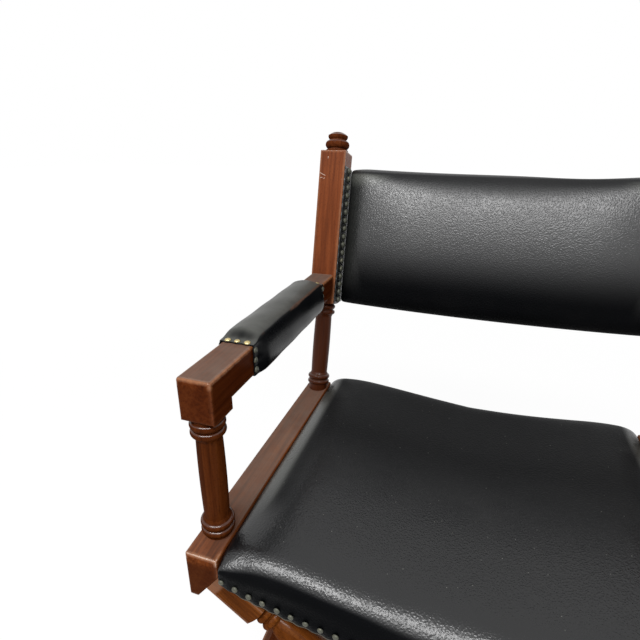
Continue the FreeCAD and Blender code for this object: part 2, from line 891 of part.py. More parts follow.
def arms():
    """The arm: a bar with a deeper block at the front, its rear end cut to the rake of the stile."""
    body = new_body("arm")
    high = size("arm_top")
    block, bar = high - size("arm_block_height"), high - size("arm_bar_height")
    depth = size("arm_block_depth")
    side = outline(body, "arm_side", "YZ_Plane", [
        (0, block),
        (depth, block),
        (depth, bar),
        (arm_rear(bar), bar),
        (arm_rear(high), high),
        (0, high),
    ])
    pad(body, side, size("arm_width"), side="Symmetric")

    def worn(edge):
        top = flat_along(edge, "z", high.value) and not flat_along(edge, "y", arm_rear(high).value)
        return top or flat_along(edge, "y", 0)

    soften(body, size("arm_round"), worn)
    put(body, size("arm_width") / 2 - half_width, arm_front, size("rail_top"))
    past = size("overcut")
    mortise = rod("arm_mortise", size("tenon_radius") + size("fixed_fit"), size("tenon_depth") + past * 2)
    put(
        mortise, size("arm_width") / 2 - half_width, arm_front + depth / 2, size("rail_top") + block - past,
    )
    pair(cut("arm_bar", body, [mortise, dowel("arm")]), "arm")
    pair(dowel("pin"), "arm_dowel")


# Soft pieces: closed outlines of lines and arcs, lofted


def wire_of(steps):
    """A closed wire. A step is (point) for a line or (through, point) for an arc to that point."""
    edges = []
    for index, step in enumerate(steps):
        start = steps[index - 1][-1]
        if len(step) == 1:
            edges.append(Part.LineSegment(start, step[0]).toShape())
        else:
            edges.append(Part.Arc(start, step[0], step[1]).toShape())
    return Part.Wire(edges)


def soft(name, shape):
    piece = doc.addObject("Part::Feature", name)
    piece.Shape = shape
    return piece


def number(alias):
    return SIZES[alias]


def quarter_sine(share):
    """A smooth rise from 0 to 1 that levels off at its top."""
    return math.sin(math.radians(90) * min(1.0, share))


def arm_pads():
    """Leather wrapped round the arm: thin where it is nailed, swelling between the nails."""
    half = number("arm_width") / 2
    top, bottom = number("arm_top"), number("arm_top") - number("arm_bar_height")
    skin, proud = number("pad_skin"), number("pad_proud")
    start, end = number("pad_start"), number("pad_end")
    foot, slope = start + number("pad_flat"), number("pad_slope")
    stations = [(start, 0.0)]
    stations += [(foot + slope * share, quarter_sine(share)) for share in SLOPE_STEPS]
    stations += [(start + end - place, swell) for place, swell in reversed(stations)]

    def section(place, swell):
        crown = skin + proud + (number("pad_crown") - skin) * swell
        side = skin + proud + (number("pad_side") - skin) * swell
        under = skin + proud + (number("pad_under") - skin) * swell
        low, middle = bottom - under, (top + bottom) / 2

        def at(x, z):
            return FreeCAD.Vector(x, place, z)

        return wire_of([
            (at(half + skin, low),),
            (at(half + side, middle), at(half + skin, top + skin)),
            (at(0, top + crown), at(-half - skin, top + skin)),
            (at(-half - side, middle), at(-half - skin, low)),
        ])

    cover = Part.makeLoft([section(*station) for station in stations], True, True)
    past = number("overcut")
    corner = FreeCAD.Vector(-half, start - past, bottom)
    core = Part.makeBox(half * 2, end - start + past * 2, top - bottom, corner)
    sleeve = soft("arm_pad", cover.cut(core))
    pair(put(sleeve, size("arm_width") / 2 - half_width, arm_front, size("rail_top")), "arm_pad")


def seat_hems():
    """The leather hem nailed to the rail under the edge of the cushion."""
    inset = size("rail_overhang")
    hem = box("seat_hem", size("hem_thick"), size("rail_length") - inset * 2, size("hem_height"))
    low = size("rail_top") - size("hem_top") - size("hem_height")
    pair(put(hem, size("rail_width") - half_width, rail_front + inset, low), "seat_hem")


def quarter_round(share):
    """How far a rounded edge has still to rise at a share of its width."""
    return 1 - math.sqrt(1 - (1 - share) ** 2)


def seat_cushion():
    """The padded sling: a crest beside each rail, a dip between, and room below for the legs."""
    outer = number("chair_width") / 2 - number("rail_width") - number("seat_play")
    step_in = outer - number("seat_relief")
    slope_end = step_in - number("relief_width")
    leg_corner = number("rail_depth") - (number("leg_step") + number("leg_size")) * leg_cos.value
    ledge = -(leg_corner - number("leg_clear"))
    floor = ledge - number("relief_width") * leg_sin.value / leg_cos.value
    crest_x, bend_x = outer - number("crest_in"), outer - number("bend_in")
    front, rear = -number("seat_front"), number("rail_length") - number("rail_overhang")
    roll = number("seat_roll")

    def section(place, drop):
        share = (place - front) / (rear - front)

        def between(name, sign):
            first, last = number(f"front_{name}"), number(f"rear_{name}")
            return sign * (first + (last - first) * share) - drop

        def at(x, z):
            return FreeCAD.Vector(x, place, z)

        edge, lip = -number("edge_drop"), -number("seat_lip")
        crest, bend, dip = between("crest", 1), between("bend", 1), between("dip", -1)
        return wire_of([
            (at(-outer, lip),),
            (at(-outer, edge),),
            (at(-crest_x, crest), at(-bend_x, bend)),
            (at(0, dip), at(bend_x, bend)),
            (at(crest_x, crest), at(outer, edge)),
            (at(outer, lip),),
            (at(step_in, lip),),
            (at(step_in, ledge),),
            (at(slope_end, floor),),
            (at(0, floor - number("seat_sag")), at(-slope_end, floor)),
            (at(-step_in, ledge),),
            (at(-step_in, lip),),
        ])

    rolled = [(roll * share, number("roll_drop") * quarter_round(share)) for share in ROLL_STEPS]
    stations = [(front + run, drop) for run, drop in rolled]
    stations.append(((front + rear) / 2, 0.0))
    stations += [(rear - run, drop) for run, drop in reversed(rolled)]
    cushion = soft("seat", Part.makeLoft([section(*station) for station in stations], True, True))
    node(put(cushion, 0, arm_front, size("rail_top")), "seat_cushion")


def seat_borders():
    """The leather edge that hangs over the front and rear of the cushion, in the line of its sag."""
    across = half_width - size("rail_width") - size("border_in")
    low, sag = -size("border_end"), size("border_sag")
    thick, play = size("border_thick"), size("border_play")
    for end, place, label in (
        ("front", -(size("seat_front") + play + thick), "seat_front_border"),
        ("rear", size("rail_length") - size("rail_overhang") + play, "seat_rear_border"),
    ):
        body = new_body(f"border_{end}")
        strip = outline(body, f"border_{end}_outline", "XZ_Plane", [
            (-across, low),
            (across, low, sag),
            (across, low + size("border_height")),
            (-across, low + size("border_height"), -sag),
        ])
        pad(body, strip, thick, reverse=True)
        node(put(body, 0, arm_front + place, size("rail_top")), label)


def back_strips():
    """The end of the back cover, flat on the inner side of the stile."""
    strip = box("back_strip", size("strip_thick"), size("strip_depth"), back_top_run - back_low_run)
    pair(rake(strip, size("stile_size") - half_width, -size("strip_front"), back_low_run), "back_strip")


def back_cushion():
    """The padded back: thin at the strips, where it is set back, and full between them."""
    outer = number("chair_width") / 2 - number("stile_size") - number("strip_thick") - number("seat_play")
    swell = number("back_swell")
    low, high = back_low_run.value, back_top_run.value
    stations = [swell * share - outer for share in SWELL_STEPS] + [-outer / 2]
    stations += [0.0] + [-place for place in reversed(stations)]

    def section(place):
        full = quarter_sine((outer - abs(place)) / swell)
        inside = 1 - (place / outer) ** 2

        def swollen(end, middle):
            return number(end) + (number(middle) - number(end)) * full

        half = swollen("back_end_half", "back_half")
        crown = swollen("back_end_crown", "back_crown")
        rear_crown = swollen("back_end_crown", "back_rear_crown")
        round_off = swollen("back_end_round", "back_round")
        middle = swollen("back_end_set", "back_set")
        top, foot = high - number("back_dip") * inside, low - number("back_sag") * inside

        def at(back, along):
            return FreeCAD.Vector(place, back, along)

        waist = (top + foot) / 2
        return wire_of([
            (at(middle - half - crown, waist), at(middle - half, top - round_off)),
            (at(middle, top), at(middle + half, top - round_off)),
            (at(middle + half + rear_crown, waist), at(middle + half, foot + round_off)),
            (at(middle, foot), at(middle - half, foot + round_off)),
        ])

    cushion = soft("back", Part.makeLoft([section(place) for place in stations], True, False))
    node(rake(cushion, 0), "back_cushion")


# Domed nails


def nail(spot, direction, shank):
    """One nail: a domed head that stands on a face, and its wire going in."""
    radius, dome, wire = number("nail_radius"), number("nail_dome"), number("nail_wire")
    foot, rim, tip = FreeCAD.Vector(), FreeCAD.Vector(radius, 0, 0), FreeCAD.Vector(0, 0, dome)
    ball = (radius * radius + dome * dome) / (2 * dome)
    lean_in = math.atan2(radius, ball - dome) / 2
    through = FreeCAD.Vector(ball * math.sin(lean_in), 0, ball * math.cos(lean_in) - ball + dome)
    face = Part.Face(Part.Wire([
        Part.LineSegment(foot, rim).toShape(),
        Part.Arc(rim, through, tip).toShape(),
        Part.LineSegment(tip, foot).toShape(),
    ]))
    head = face.revolve(FreeCAD.Vector(), FreeCAD.Vector(0, 0, 1), 360)
    pin = Part.makeBox(wire, wire, shank, FreeCAD.Vector(-wire / 2, -wire / 2, -shank))
    whole = head.fuse(pin)
    whole.Placement = FreeCAD.Placement(spot, FreeCAD.Rotation(FreeCAD.Vector(0, 0, 1), direction))
    return whole


def evenly(first, last, pitch):
    """Places from first to last at about a pitch."""
    steps = max(1, round((last - first) / pitch))
    return [first + (last - first) * index / steps for index in range(steps + 1)]


def arm_nails():
    half = number("arm_width") / 2
    top, middle = number("arm_top"), number("arm_top") - number("arm_bar_height") / 2
    proud, pitch = number("pad_skin") + number("pad_proud"), number("arm_pitch")
    rows = []
    for place in (number("pad_start") + number("arm_nail_in"), number("pad_end") - number("arm_nail_in")):
        for offset in (-pitch, 0, pitch):
            rows.append((FreeCAD.Vector(offset, place, top + proud), FreeCAD.Vector(0, 0, 1)))
            for side in (-1, 1):
                spot = FreeCAD.Vector(side * (half + proud), place, middle + offset)
                rows.append((spot, FreeCAD.Vector(side, 0, 0)))
    heads = [nail(spot, way, number("nail_shank")) for spot, way in rows]
    nails = soft("arm_nails", Part.makeCompound(heads))
    pair(put(nails, size("arm_width") / 2 - half_width, arm_front, size("rail_top")), "arm_pad_nails")


def back_nails():
    edge = number("nail_edge")
    row = evenly(back_low_run.value + edge, back_top_run.value - edge, number("back_pitch"))
    back = number("back_nail_in") - number("stile_size") / 2
    heads = [
        nail(FreeCAD.Vector(0, back, along), FreeCAD.Vector(1, 0, 0), number("nail_shank")) for along in row
    ]
    nails = soft("back_nail_row", Part.makeCompound(heads))
    pair(rake(nails, size("stile_size") + size("strip_thick") - half_width), "back_nails")


def seat_nails():
    """Rows along both borders, set in from their lower edge and following its sag."""
    edge = number("nail_edge")
    across = number("chair_width") / 2 - number("rail_width") - number("border_in")
    sag = number("border_sag")
    curve = (across * across + sag * sag) / (2 * sag)
    row = evenly(edge * 2 - across, across - edge * 2, number("seat_pitch"))
    for end, place, way in (
        ("front", -(size("seat_front") + size("border_play") + size("border_thick")), -1),
        ("rear", size("rail_length") - size("rail_overhang") + size("border_play") + size("border_thick"), 1),
    ):
        heads = []
        for x in row:
            drop = math.sqrt(curve * curve - x * x) - (curve - sag)
            spot = FreeCAD.Vector(x, 0, edge - number("border_end") - drop)
            heads.append(nail(spot, FreeCAD.Vector(0, way, 0), number("stud_shank")))
        nails = soft(f"seat_{end}_row", Part.makeCompound(heads))
        node(put(nails, 0, arm_front + place, size("rail_top")), f"seat_{end}_nails")


leg_tilt = derived("leg_tilt", 90 - leg_angle)
stile_run = derived("stile_run", size("stile_top") / rake_cos)
stile_square_run = derived("stile_square_run", size("stile_square") / rake_cos)
back_low_run = derived("back_low_run", size("back_bottom") / rake_cos)
back_top_run = derived("back_top_run", size("back_top") / rake_cos)

rails_and_runners()
glides()
legs_and_tangs()
pivot_bolts()
front_posts()
back_stiles()
finials()
arms()
arm_pads()
seat_hems()
seat_cushion()
seat_borders()
back_strips()
back_cushion()
arm_nails()
back_nails()
seat_nails()

# Check everything, then write one file for each sub-part

doc.recompute()
for thing in doc.Objects:
    if "Invalid" in thing.State or "Error" in thing.State:
        raise RuntimeError(f"{thing.Label} failed: {thing.State}")
for piece in nodes:
    if piece.Shape.isNull() or not piece.Shape.isValid() or not piece.Shape.Solids:
        raise RuntimeError(f"{piece.Label} has no valid solid")

os.makedirs("parts", exist_ok=True)
for piece in nodes:
    piece.Shape.exportStep(f"parts/{piece.Label}.step")
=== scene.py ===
import bpy
import math
import numpy as np
import random
from mathutils import Matrix, Vector


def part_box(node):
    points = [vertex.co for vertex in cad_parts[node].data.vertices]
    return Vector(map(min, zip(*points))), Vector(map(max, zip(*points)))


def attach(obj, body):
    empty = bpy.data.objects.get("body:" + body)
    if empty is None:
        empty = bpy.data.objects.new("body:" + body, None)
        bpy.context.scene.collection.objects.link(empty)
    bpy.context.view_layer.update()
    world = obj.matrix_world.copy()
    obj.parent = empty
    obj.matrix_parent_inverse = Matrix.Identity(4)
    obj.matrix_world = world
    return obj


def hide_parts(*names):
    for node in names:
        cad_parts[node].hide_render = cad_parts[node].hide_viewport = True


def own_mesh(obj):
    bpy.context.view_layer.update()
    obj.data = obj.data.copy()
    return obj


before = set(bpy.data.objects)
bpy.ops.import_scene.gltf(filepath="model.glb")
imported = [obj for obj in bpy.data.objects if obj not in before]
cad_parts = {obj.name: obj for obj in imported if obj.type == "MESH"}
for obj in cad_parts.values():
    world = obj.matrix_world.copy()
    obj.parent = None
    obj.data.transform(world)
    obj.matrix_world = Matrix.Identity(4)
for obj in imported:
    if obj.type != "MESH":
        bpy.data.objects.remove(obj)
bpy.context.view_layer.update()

# Sizes of the chair that the soft pieces and the paints follow, in metres

SIDES = {"left": -1, "right": 1}
HALF_WIDTH = 0.300
RAIL_TOP = 0.465
RAIL_HALF = 0.0205
RAIL_DEEP = 0.0322
RAIL_LONG = 0.4295
RUNNER_HEIGHT = 0.0402
ARM_FRONT = -0.2392
RAIL_FRONT = ARM_FRONT - 0.0223
RAIL_REAR = RAIL_FRONT + RAIL_LONG
RAIL_INNER = HALF_WIDTH - 2 * RAIL_HALF
CROSS_HEIGHT = 0.2365
LEG_TILT = math.radians(90 - 36.483)
LEG_HALF = 0.018
LEG_REACH = 0.32
RAKE = math.radians(13.6)
STILE_FOOT = Vector((0, ARM_FRONT + 0.3814, RAIL_TOP))
STILE_HALF = 0.0227
STILE_RUN = 0.418 / math.cos(RAKE)
STILE_INNER = HALF_WIDTH - 2 * STILE_HALF
FINIAL_HALF = 0.0235
POST_IN = 0.01965
POST_HALF = 0.0232
ARM_HALF = 0.02065
ARM_DEEP = 0.0186
ARM_LONG = 0.205
ARM_TOP = RAIL_TOP + 0.215
ARM_MIDDLE = HALF_WIDTH - ARM_HALF
ARM_BLOCK_LONG = 0.0393
ARM_BLOCK_DEEP = 0.0074

# Shader sums


class Value:
    """A shader socket that takes part in sums."""

    def __init__(self, paint, socket):
        self.paint = paint
        self.socket = socket

    def sum(self, operation, *others):
        inputs = dict(enumerate((self, *others)))
        return self.paint.node("Math", {"operation": operation}, inputs)

    def __add__(self, other):
        return self.sum("ADD", other)

    def __sub__(self, other):
        return self.sum("SUBTRACT", other)

    def __mul__(self, other):
        return self.sum("MULTIPLY", other)

    def __truediv__(self, other):
        return self.sum("DIVIDE", other)

    def __radd__(self, other):
        return self + other

    def __rmul__(self, other):
        return self * other

    def __rsub__(self, other):
        return self * -1 + other

    def __abs__(self):
        return self.sum("ABSOLUTE")

    def least(self, other):
        return self.sum("MINIMUM", other)

    def most(self, other):
        return self.sum("MAXIMUM", other)

    def power(self, other):
        return self.sum("POWER", other)

    def rise(self, low, high):
        """0 at the low value, 1 at the high one, smooth between. It falls if low is the greater."""
        settings = {"interpolation_type": "SMOOTHSTEP"}
        return self.paint.node("MapRange", settings, {"Value": self, "From Min": low, "From Max": high})


class Paint:
    """The nodes of one material, or of the surround, and the patterns that the finishes share."""

    def __init__(self, name, store=None):
        self.owner = (bpy.data.materials if store is None else store).new(name)
        self.owner.use_nodes = True
        self.tree = self.owner.node_tree
        self.tree.nodes.clear()

    def node(self, kind, settings=None, inputs=None, out=0):
        made = self.tree.nodes.new(f"ShaderNode{kind}")
        for key, value in (settings or {}).items():
            setattr(made, key, value)
        for key, value in (inputs or {}).items():
            if isinstance(value, Value):
                self.tree.links.new(value.socket, made.inputs[key])
            else:
                made.inputs[key].default_value = value
        return Value(self, made.outputs[out])

    def place(self):
        return self.node("TexCoord", out="Object")

    def normal(self):
        return self.node("NewGeometry", out="Normal")

    def facing(self, letter):
        """How far the surface faces along an axis, from -1 to 1."""
        return self.node("SeparateXYZ", None, {0: self.normal()}, letter)

    def seen(self):
        """1 for the rays that show a surface to the eye, straight or mirrored, and 0 for those that light it."""
        path = self.node("LightPath").socket.node
        camera, glossy, clear = [
            Value(self, path.outputs[f"Is {kind} Ray"]) for kind in ("Camera", "Glossy", "Transmission")
        ]
        return camera.most(glossy).most(clear)

    def split(self, vector):
        made = self.node("SeparateXYZ", None, {0: vector})
        return [Value(self, socket) for socket in made.socket.node.outputs]

    def stretched(self, vector, scale):
        return self.node("VectorMath", {"operation": "MULTIPLY"}, {0: vector, 1: scale})

    def moved(self, vector, step):
        return self.node("VectorMath", {"operation": "ADD"}, {0: vector, 1: step})

    def noise(self, vector, scale, detail=3.0, rough=0.55, bend=0.0):
        inputs = {"Vector": vector, "Scale": scale, "Detail": detail, "Roughness": rough, "Distortion": bend}
        return self.node("TexNoise", None, inputs)

    def cells(self, vector, scale, feature="F1"):
        inputs = {"Vector": vector, "Scale": scale}
        return self.node("TexVoronoi", {"feature": feature}, inputs, "Distance")

    def mix(self, factor, first, second, kind="MIX"):
        settings = {"data_type": "RGBA", "blend_type": kind}
        return self.node("Mix", settings, {0: factor, 6: first, 7: second}, 2)

    def bump(self, height, strength, distance):
        inputs = {"Height": height, "Strength": strength, "Distance": distance}
        return self.node("Bump", None, inputs, "Normal")

    def finish(self, inputs):
        return self.close(self.node("BsdfPrincipled", None, inputs))

    def close(self, shader, kind="OutputMaterial"):
        output = self.tree.nodes.new(f"ShaderNode{kind}")
        self.tree.links.new(shader.socket, output.inputs["Surface"])
        return self.owner


def colour(red, green, blue):
    return (red, green, blue, 1.0)


# Varnished wood

WOOD_DARK = colour(0.042, 0.0088, 0.0020)
WOOD_MID = colour(0.158, 0.037, 0.0092)
WOOD_LIGHT = colour(0.240, 0.070, 0.020)
WOOD_WORN = colour(0.40, 0.165, 0.065)
# The next colour is the pale line of a painted highlight on front edges
WOOD_PAINTED_GLINT = colour(0.80, 0.66, 0.56)
WOOD_SCRATCH = colour(0.62, 0.47, 0.38)
WOOD_DUST = colour(0.21, 0.155, 0.125)

# Where a mark along an edge stops and where it is full, in metres from the edge
RUBBED_BAND = (0.0080, 0.0020)
GLINT_BAND = (0.0023, 0.0011)
GLOSS_BAND = (0.0045, 0.0010)
CREST_BAND = (0.011, 0.005)

# Where a side starts to count as facing some way, and where it does so fully
FACING = (0.7, 0.95)


def second_least(first, second, third):
    """The middle one of three values: on a box, how far the nearest edge is."""
    low = first.least(second)
    high = first.most(second)
    return low.most(high.least(third))


def scratch_line(start, stop, across, along):
    """A thin line between two points of a side, thinning out at its end."""
    run = Vector(stop) - Vector(start)
    length = run.length
    run.normalize()
    dx = across - start[0]
    dz = along - start[1]
    far = abs(dx * run.y - dz * run.x)
    place = dx * run.x + dz * run.y
    return far.rise(0.0007, 0.0003) * place.rise(0, 0.001) * place.rise(length, length - 0.002)


def varnished_wood(
    name, spot, axis, angle, box, tone=1.0, dust=0.0, wear=1.0, scratches=(), block=None, rings=0.0, ends=0.45,
    specular=0.0, stripe=0.9, inner=(0, 0.0), crest=False, tint=(1.0, 1.0, 1.0), painted_shade_below=None, swept=0.0,
    reach=None,
):
    """Varnished mahogany whose grain runs along the piece.

    The box is half its size in its own frame. A block is a deeper front end: where it stops, and half the extra depth.
    Rings is the gloss of turned work where it faces up, ends how dark the end grain is from stain and painted shade,
    stripe how bold the figure is.
    Inner gives the way to the chair's middle, and how dark the painted shade is on the side that faces there. With a
    crest, the piece is rubbed along its top edges more than elsewhere. Painted shade below is the height under which
    painted shade darkens the stain, and swept is how much less dust lies on the front. Reach is how far from the front
    end the edges are rubbed, and such a piece carries a pale painted highlight along its front edges.
    """
    paint = Paint(name)
    upright = paint.node(
        "VectorRotate", {"rotation_type": axis}, {"Vector": paint.place(), "Center": spot, "Angle": angle},
    )
    here = paint.moved(upright, [-part for part in spot])
    across, aside, along = paint.split(here)
    wide, deep, long = box
    grain = Matrix.Rotation(-angle, 3, axis[0]) @ Vector((0, 0, 1))

    # Streaks, broad figure and short dark pores, all drawn out along the grain
    streak = paint.noise(paint.stretched(here, (1, 1, 0.035)), 230, 5.0, 0.62, 0.4)
    figure = paint.noise(paint.stretched(here, (1, 1, 0.16)), 26, 3.0, 0.5, 0.6)
    pore = paint.noise(paint.stretched(here, (1, 1, 0.03)), 1150, 2.0).rise(0.58, 0.72)
    blotch = paint.noise(here, 9, 3.0)
    shade = (streak - 0.5) * (0.55 + 0.65 * stripe) + (figure - 0.5) * stripe + 0.5
    base = paint.mix(shade.rise(0.12, 0.62), WOOD_DARK, WOOD_MID)
    base = paint.mix((shade + blotch * 0.3).rise(0.6, 1.05), base, WOOD_LIGHT)
    base = paint.mix(pore * 0.5, base, WOOD_DARK)
    mottle = paint.noise(here, 430, 2.0).rise(0.56, 0.70)
    base = paint.mix(mottle * 0.4, base, WOOD_DARK)
    base = paint.mix(1.0, base, colour(*[tone * part for part in tint]), "MULTIPLY")
    # Painted shade: darker below a height up the piece
    if painted_shade_below is not None:
        base = paint.mix(along.rise(painted_shade_below, painted_shade_below - 0.03) * 0.80, base, WOOD_DARK)

    # End grain drinks the stain and is darker; this is also painted shade on the end faces, least of all along their
    # top
    normal = paint.normal()
    end_on = paint.node("VectorMath", {"operation": "DOT_PRODUCT"}, {0: normal, 1: grain}, "Value")
    end_stain_and_shade = 0.05 + 0.95 * aside.rise(-deep * 0.95, -deep * 0.35)
    base = paint.mix(abs(end_on).rise(*FACING) * end_stain_and_shade * ends, base, WOOD_DARK)
    # Painted shade on the side that faces the chair's middle
    way, dark = inner
    if way:
        base = paint.mix((paint.facing("X") * way).rise(*FACING) * dark, base, WOOD_DARK)

    # Rubbed arrises, broken up by noise
    deeper = 0.0
    if block is not None:
        stop, extra = block
        deeper = along.rise(stop + 0.0001, stop - 0.0001) * extra
    edge = second_least(wide - abs(across), deeper + deep - abs(aside - deeper), long - abs(along))
    chafe = paint.noise(here, 120, 4.0, 0.65)
    handled = wear
    if crest:
        handled = (0.1 + 0.9 * aside.rise(CREST_BAND[0] - deep, CREST_BAND[1] - deep)) * wear
    if reach is not None:
        handled = handled * (0.15 + 0.85 * along.rise(reach - long, reach * 0.4 - long))
    rubbed = (edge + chafe * 0.0052).rise(*RUBBED_BAND) * handled
    base = paint.mix(rubbed * 0.75, base, WOOD_WORN)
    # A painted highlight: a thin pale line along the edges of the front end
    if reach is not None:
        front = along.rise(0.006 - long, 0.003 - long)
        painted_glint = (edge + chafe * 0.0010).rise(*GLINT_BAND) * front * handled
        base = paint.mix(painted_glint * 0.6, base, WOOD_PAINTED_GLINT)

    # Pale scratches in the side that faces forward
    for start, stop in scratches:
        line = scratch_line(start, stop, across, along) * aside.rise(0.001 - deep, 0.0005 - deep)
        base = paint.mix(line * 0.8, base, WOOD_SCRATCH)

    # Dust and fine scuffs on what faces up
    upward = paint.facing("Z")
    corner = along.rise(long - 0.0022, long - 0.0008) * 1.5
    film = upward.rise(0.80, 0.97) * (0.45 + paint.noise(here, 34, 4.0, 0.6) * 0.8 + corner) * dust
    film = film * (1 - swept * along.rise(-long * 0.45, -long * 0.95))
    base = paint.mix(film.least(1.0), base, WOOD_DUST)

    # The varnish shines on the rounded arrises and on the shoulders of turned work
    arris = edge.rise(*GLOSS_BAND) * 0.9 * handled
    shoulder = upward.rise(0.50, 0.70) * upward.rise(0.97, 0.90) * rings
    relief = streak * 0.5 - pore * 0.5 + chafe * 0.25
    return paint.finish({
        "Base Color": base,
        "Roughness": 0.30 + streak * 0.10 + blotch * 0.10 + film * 0.22 + rubbed * 0.05,
        "Coat Weight": arris.most(shoulder) + 0.04,
        "Coat Roughness": 0.21 if rings else 0.14,
        "Specular IOR Level": specular,
        "Normal": paint.bump(relief, 0.22, 0.0004),
    })


# Black leather

LEATHER_BLACK = colour(0.0028, 0.0031, 0.0038)
LEATHER_WORN = colour(0.0066, 0.0067, 0.0072)
LEATHER_SHEEN_GREY = colour(0.098, 0.102, 0.090)
LEATHER_DUST_AND_SHEEN = colour(0.160, 0.162, 0.148)
LEATHER_GRIT = colour(0.30, 0.30, 0.27)
LEATHER_BROWN = colour(0.115, 0.062, 0.042)
LEATHER_CUT = colour(0.17, 0.155, 0.12)


def sat_on(paint, here):
    """Polish of the seat, more in front and none on its front and rear faces, and the grey beside the rails, which is
    painted sheen and partly wear.
    """
    across, along, _ = paint.split(here)
    off_middle = abs(across)
    front = along.rise(0.02, -0.14) * 0.80 + 0.20
    rear = along.rise(0.16, 0.04) * 0.6 + 0.4
    side = off_middle.rise(0.226, 0.241)
    valley = off_middle.rise(0.195, 0.226) * along.rise(-0.205, -0.150) * 0.75
    upright = abs(paint.facing("Y"))
    shine = (front * rear * (1 - valley)).most(side) * upright.rise(0.80, 0.62)
    # Grey beside the rails: painted sheen, and partly wear
    painted_sheen = side * along.rise(-0.205, -0.12) * along.rise(0.16, 0.10) * 0.5 * upright.rise(0.5, 0.3)
    return shine, painted_sheen


def leant_on(paint, here):
    """Polish of the back, on all but its lower third and the roll on its top, and a grey painted highlight in its top
    corners and a faint one along its sides.
    """
    across, along, up = paint.split(here)
    off_middle = abs(across)
    height = (along - STILE_FOOT.y) * math.sin(RAKE) + (up - STILE_FOOT.z) * math.cos(RAKE)
    reach = BACK_TOP - BACK_LOW
    inside = 1 - (across / BACK_OUT).power(2.0)
    below = BACK_TOP - height - inside * 0.005
    roll = below.rise(0.001, 0.005) * below.rise(0.008 + 0.040 * inside, 0.002 + 0.010 * inside)
    side = off_middle.rise(0.205, 0.240) * height.rise(BACK_LOW + reach * 0.05, BACK_LOW + reach * 0.35)
    shine = height.rise(BACK_LOW + reach * 0.14, BACK_LOW + reach * 0.58).most(side) * (1 - roll * 0.72)
    # Painted highlight: a grey patch in the top corners and a faint one along the sides
    corner = off_middle.rise(0.165, 0.225) * below.rise(0.005, 0.010) * below.rise(0.034, 0.014)
    return shine, corner * 0.7 + side * 0.14


def black_leather(
    name, grain, gloss, relief, specular, dust=0.0, edge=None, shoulder=None, polish=None, specks=0.0,
):
    """Black pebbled leather, with as many pebbles to the metre as its grain says.

    Gloss is its roughness. An edge is the cut edge of the sagging hem, given as a centre and a radius. A shoulder is a
    rubbed fold line: how far from the middle, how high, and from where to where. A polish gives the shine, and a grey
    that is painted sheen and highlight, on the seat partly wear.
    """
    paint = Paint(name)
    here = paint.place()
    drift = paint.noise(here, 55, 2.0)
    pushed = paint.node("VectorMath", {"operation": "MULTIPLY_ADD"}, {0: drift, 1: (0.006,) * 3, 2: here})
    pebble = paint.cells(pushed, grain, "SMOOTH_F1").rise(0.0, 0.62)
    crease = paint.cells(pushed, grain * 0.31, "DISTANCE_TO_EDGE").rise(0.0, 0.09)
    fine = paint.noise(here, grain * 3.1, 3.0)
    cloud = paint.noise(here, 11, 3.0, 0.55)
    patch = paint.noise(here, 42, 4.0, 0.6)
    across, along, up = paint.split(here)
    upward = paint.facing("Z")

    base = paint.mix(cloud.rise(0.42, 0.75) * 0.55, LEATHER_BLACK, LEATHER_WORN)
    rough = gloss + (cloud - 0.5) * 0.16 + (patch - 0.5) * 0.10
    # Dust on what faces up, which is also a painted sheen on the arm's top
    if dust:
        film = upward.rise(0.75, 0.98) * (0.35 + patch * 0.9) * dust
        base = paint.mix(film.least(1.0), base, LEATHER_DUST_AND_SHEEN)
        rough = rough + film * 0.12
    if specks:
        grit = paint.cells(here, 77).rise(0.050, 0.030) * upward.rise(0.75, 0.95)
        base = paint.mix(grit * specks, base, LEATHER_GRIT)
    if shoulder is not None:
        # A broken brown line where the leather has rubbed through along a fold
        out, height, low, high = shoulder
        far = ((abs(across) - out).power(2.0) + (up - height).power(2.0)).power(0.5)
        line = (far + (patch - 0.5) * 0.006).rise(0.0028, 0.0008) * paint.noise(here, 21, 3.0).rise(0.42, 0.58)
        line = line * along.rise(low, low + 0.03) * along.rise(high, high - 0.03)
        base = paint.mix(line * 0.75, base, LEATHER_BROWN)
        rough = rough + line * 0.12
    if edge is not None:
        # The pale cut edge, a set way out from the centre of the sagging hem
        centre, radius = edge
        out = (across.power(2.0) + (up - centre).power(2.0)).power(0.5)
        cut = (out + (patch - 0.5) * 0.0012).rise(radius - 0.0044, radius - 0.0030)
        cut = cut * along.rise(RAIL_FRONT, RAIL_FRONT - 0.003).most(along.rise(RAIL_REAR, RAIL_REAR + 0.003))
        base = paint.mix(cut * 0.8, base, LEATHER_CUT)
        rough = rough + cut * 0.2

    # Dull leather mirrors no more than its own black, as a metallic share gives it
    dull = 0.0
    if polish is not None:
        shine, painted_sheen = polish(paint, here)
        # The polish also brings grey into the colour: painted sheen and highlight
        base = paint.mix(painted_sheen * (0.6 + patch * 0.8), base, LEATHER_SHEEN_GREY)
        dull = (1 - shine) * 0.96
        rough = rough + dull * 0.30
    height = (1 - pebble) * 0.75 + crease * 0.10 + fine * 0.12
    return paint.finish({
        "Base Color": base,
        "Roughness": rough,
        "Metallic": dull,
        "Specular IOR Level": specular,
        "Normal": paint.bump(height, relief, 0.0005),
    })


# Metal and rubber

BRASS = colour(0.60, 0.49, 0.24)
PATINA = colour(0.088, 0.090, 0.068)
STEEL_DARK = colour(0.30, 0.29, 0.28)
STEEL_LIGHT = colour(0.44, 0.43, 0.41)
RUST = colour(0.11, 0.055, 0.03)
RUBBER_DARK = colour(0.018, 0.018, 0.018)
RUBBER_LIGHT = colour(0.04, 0.038, 0.035)


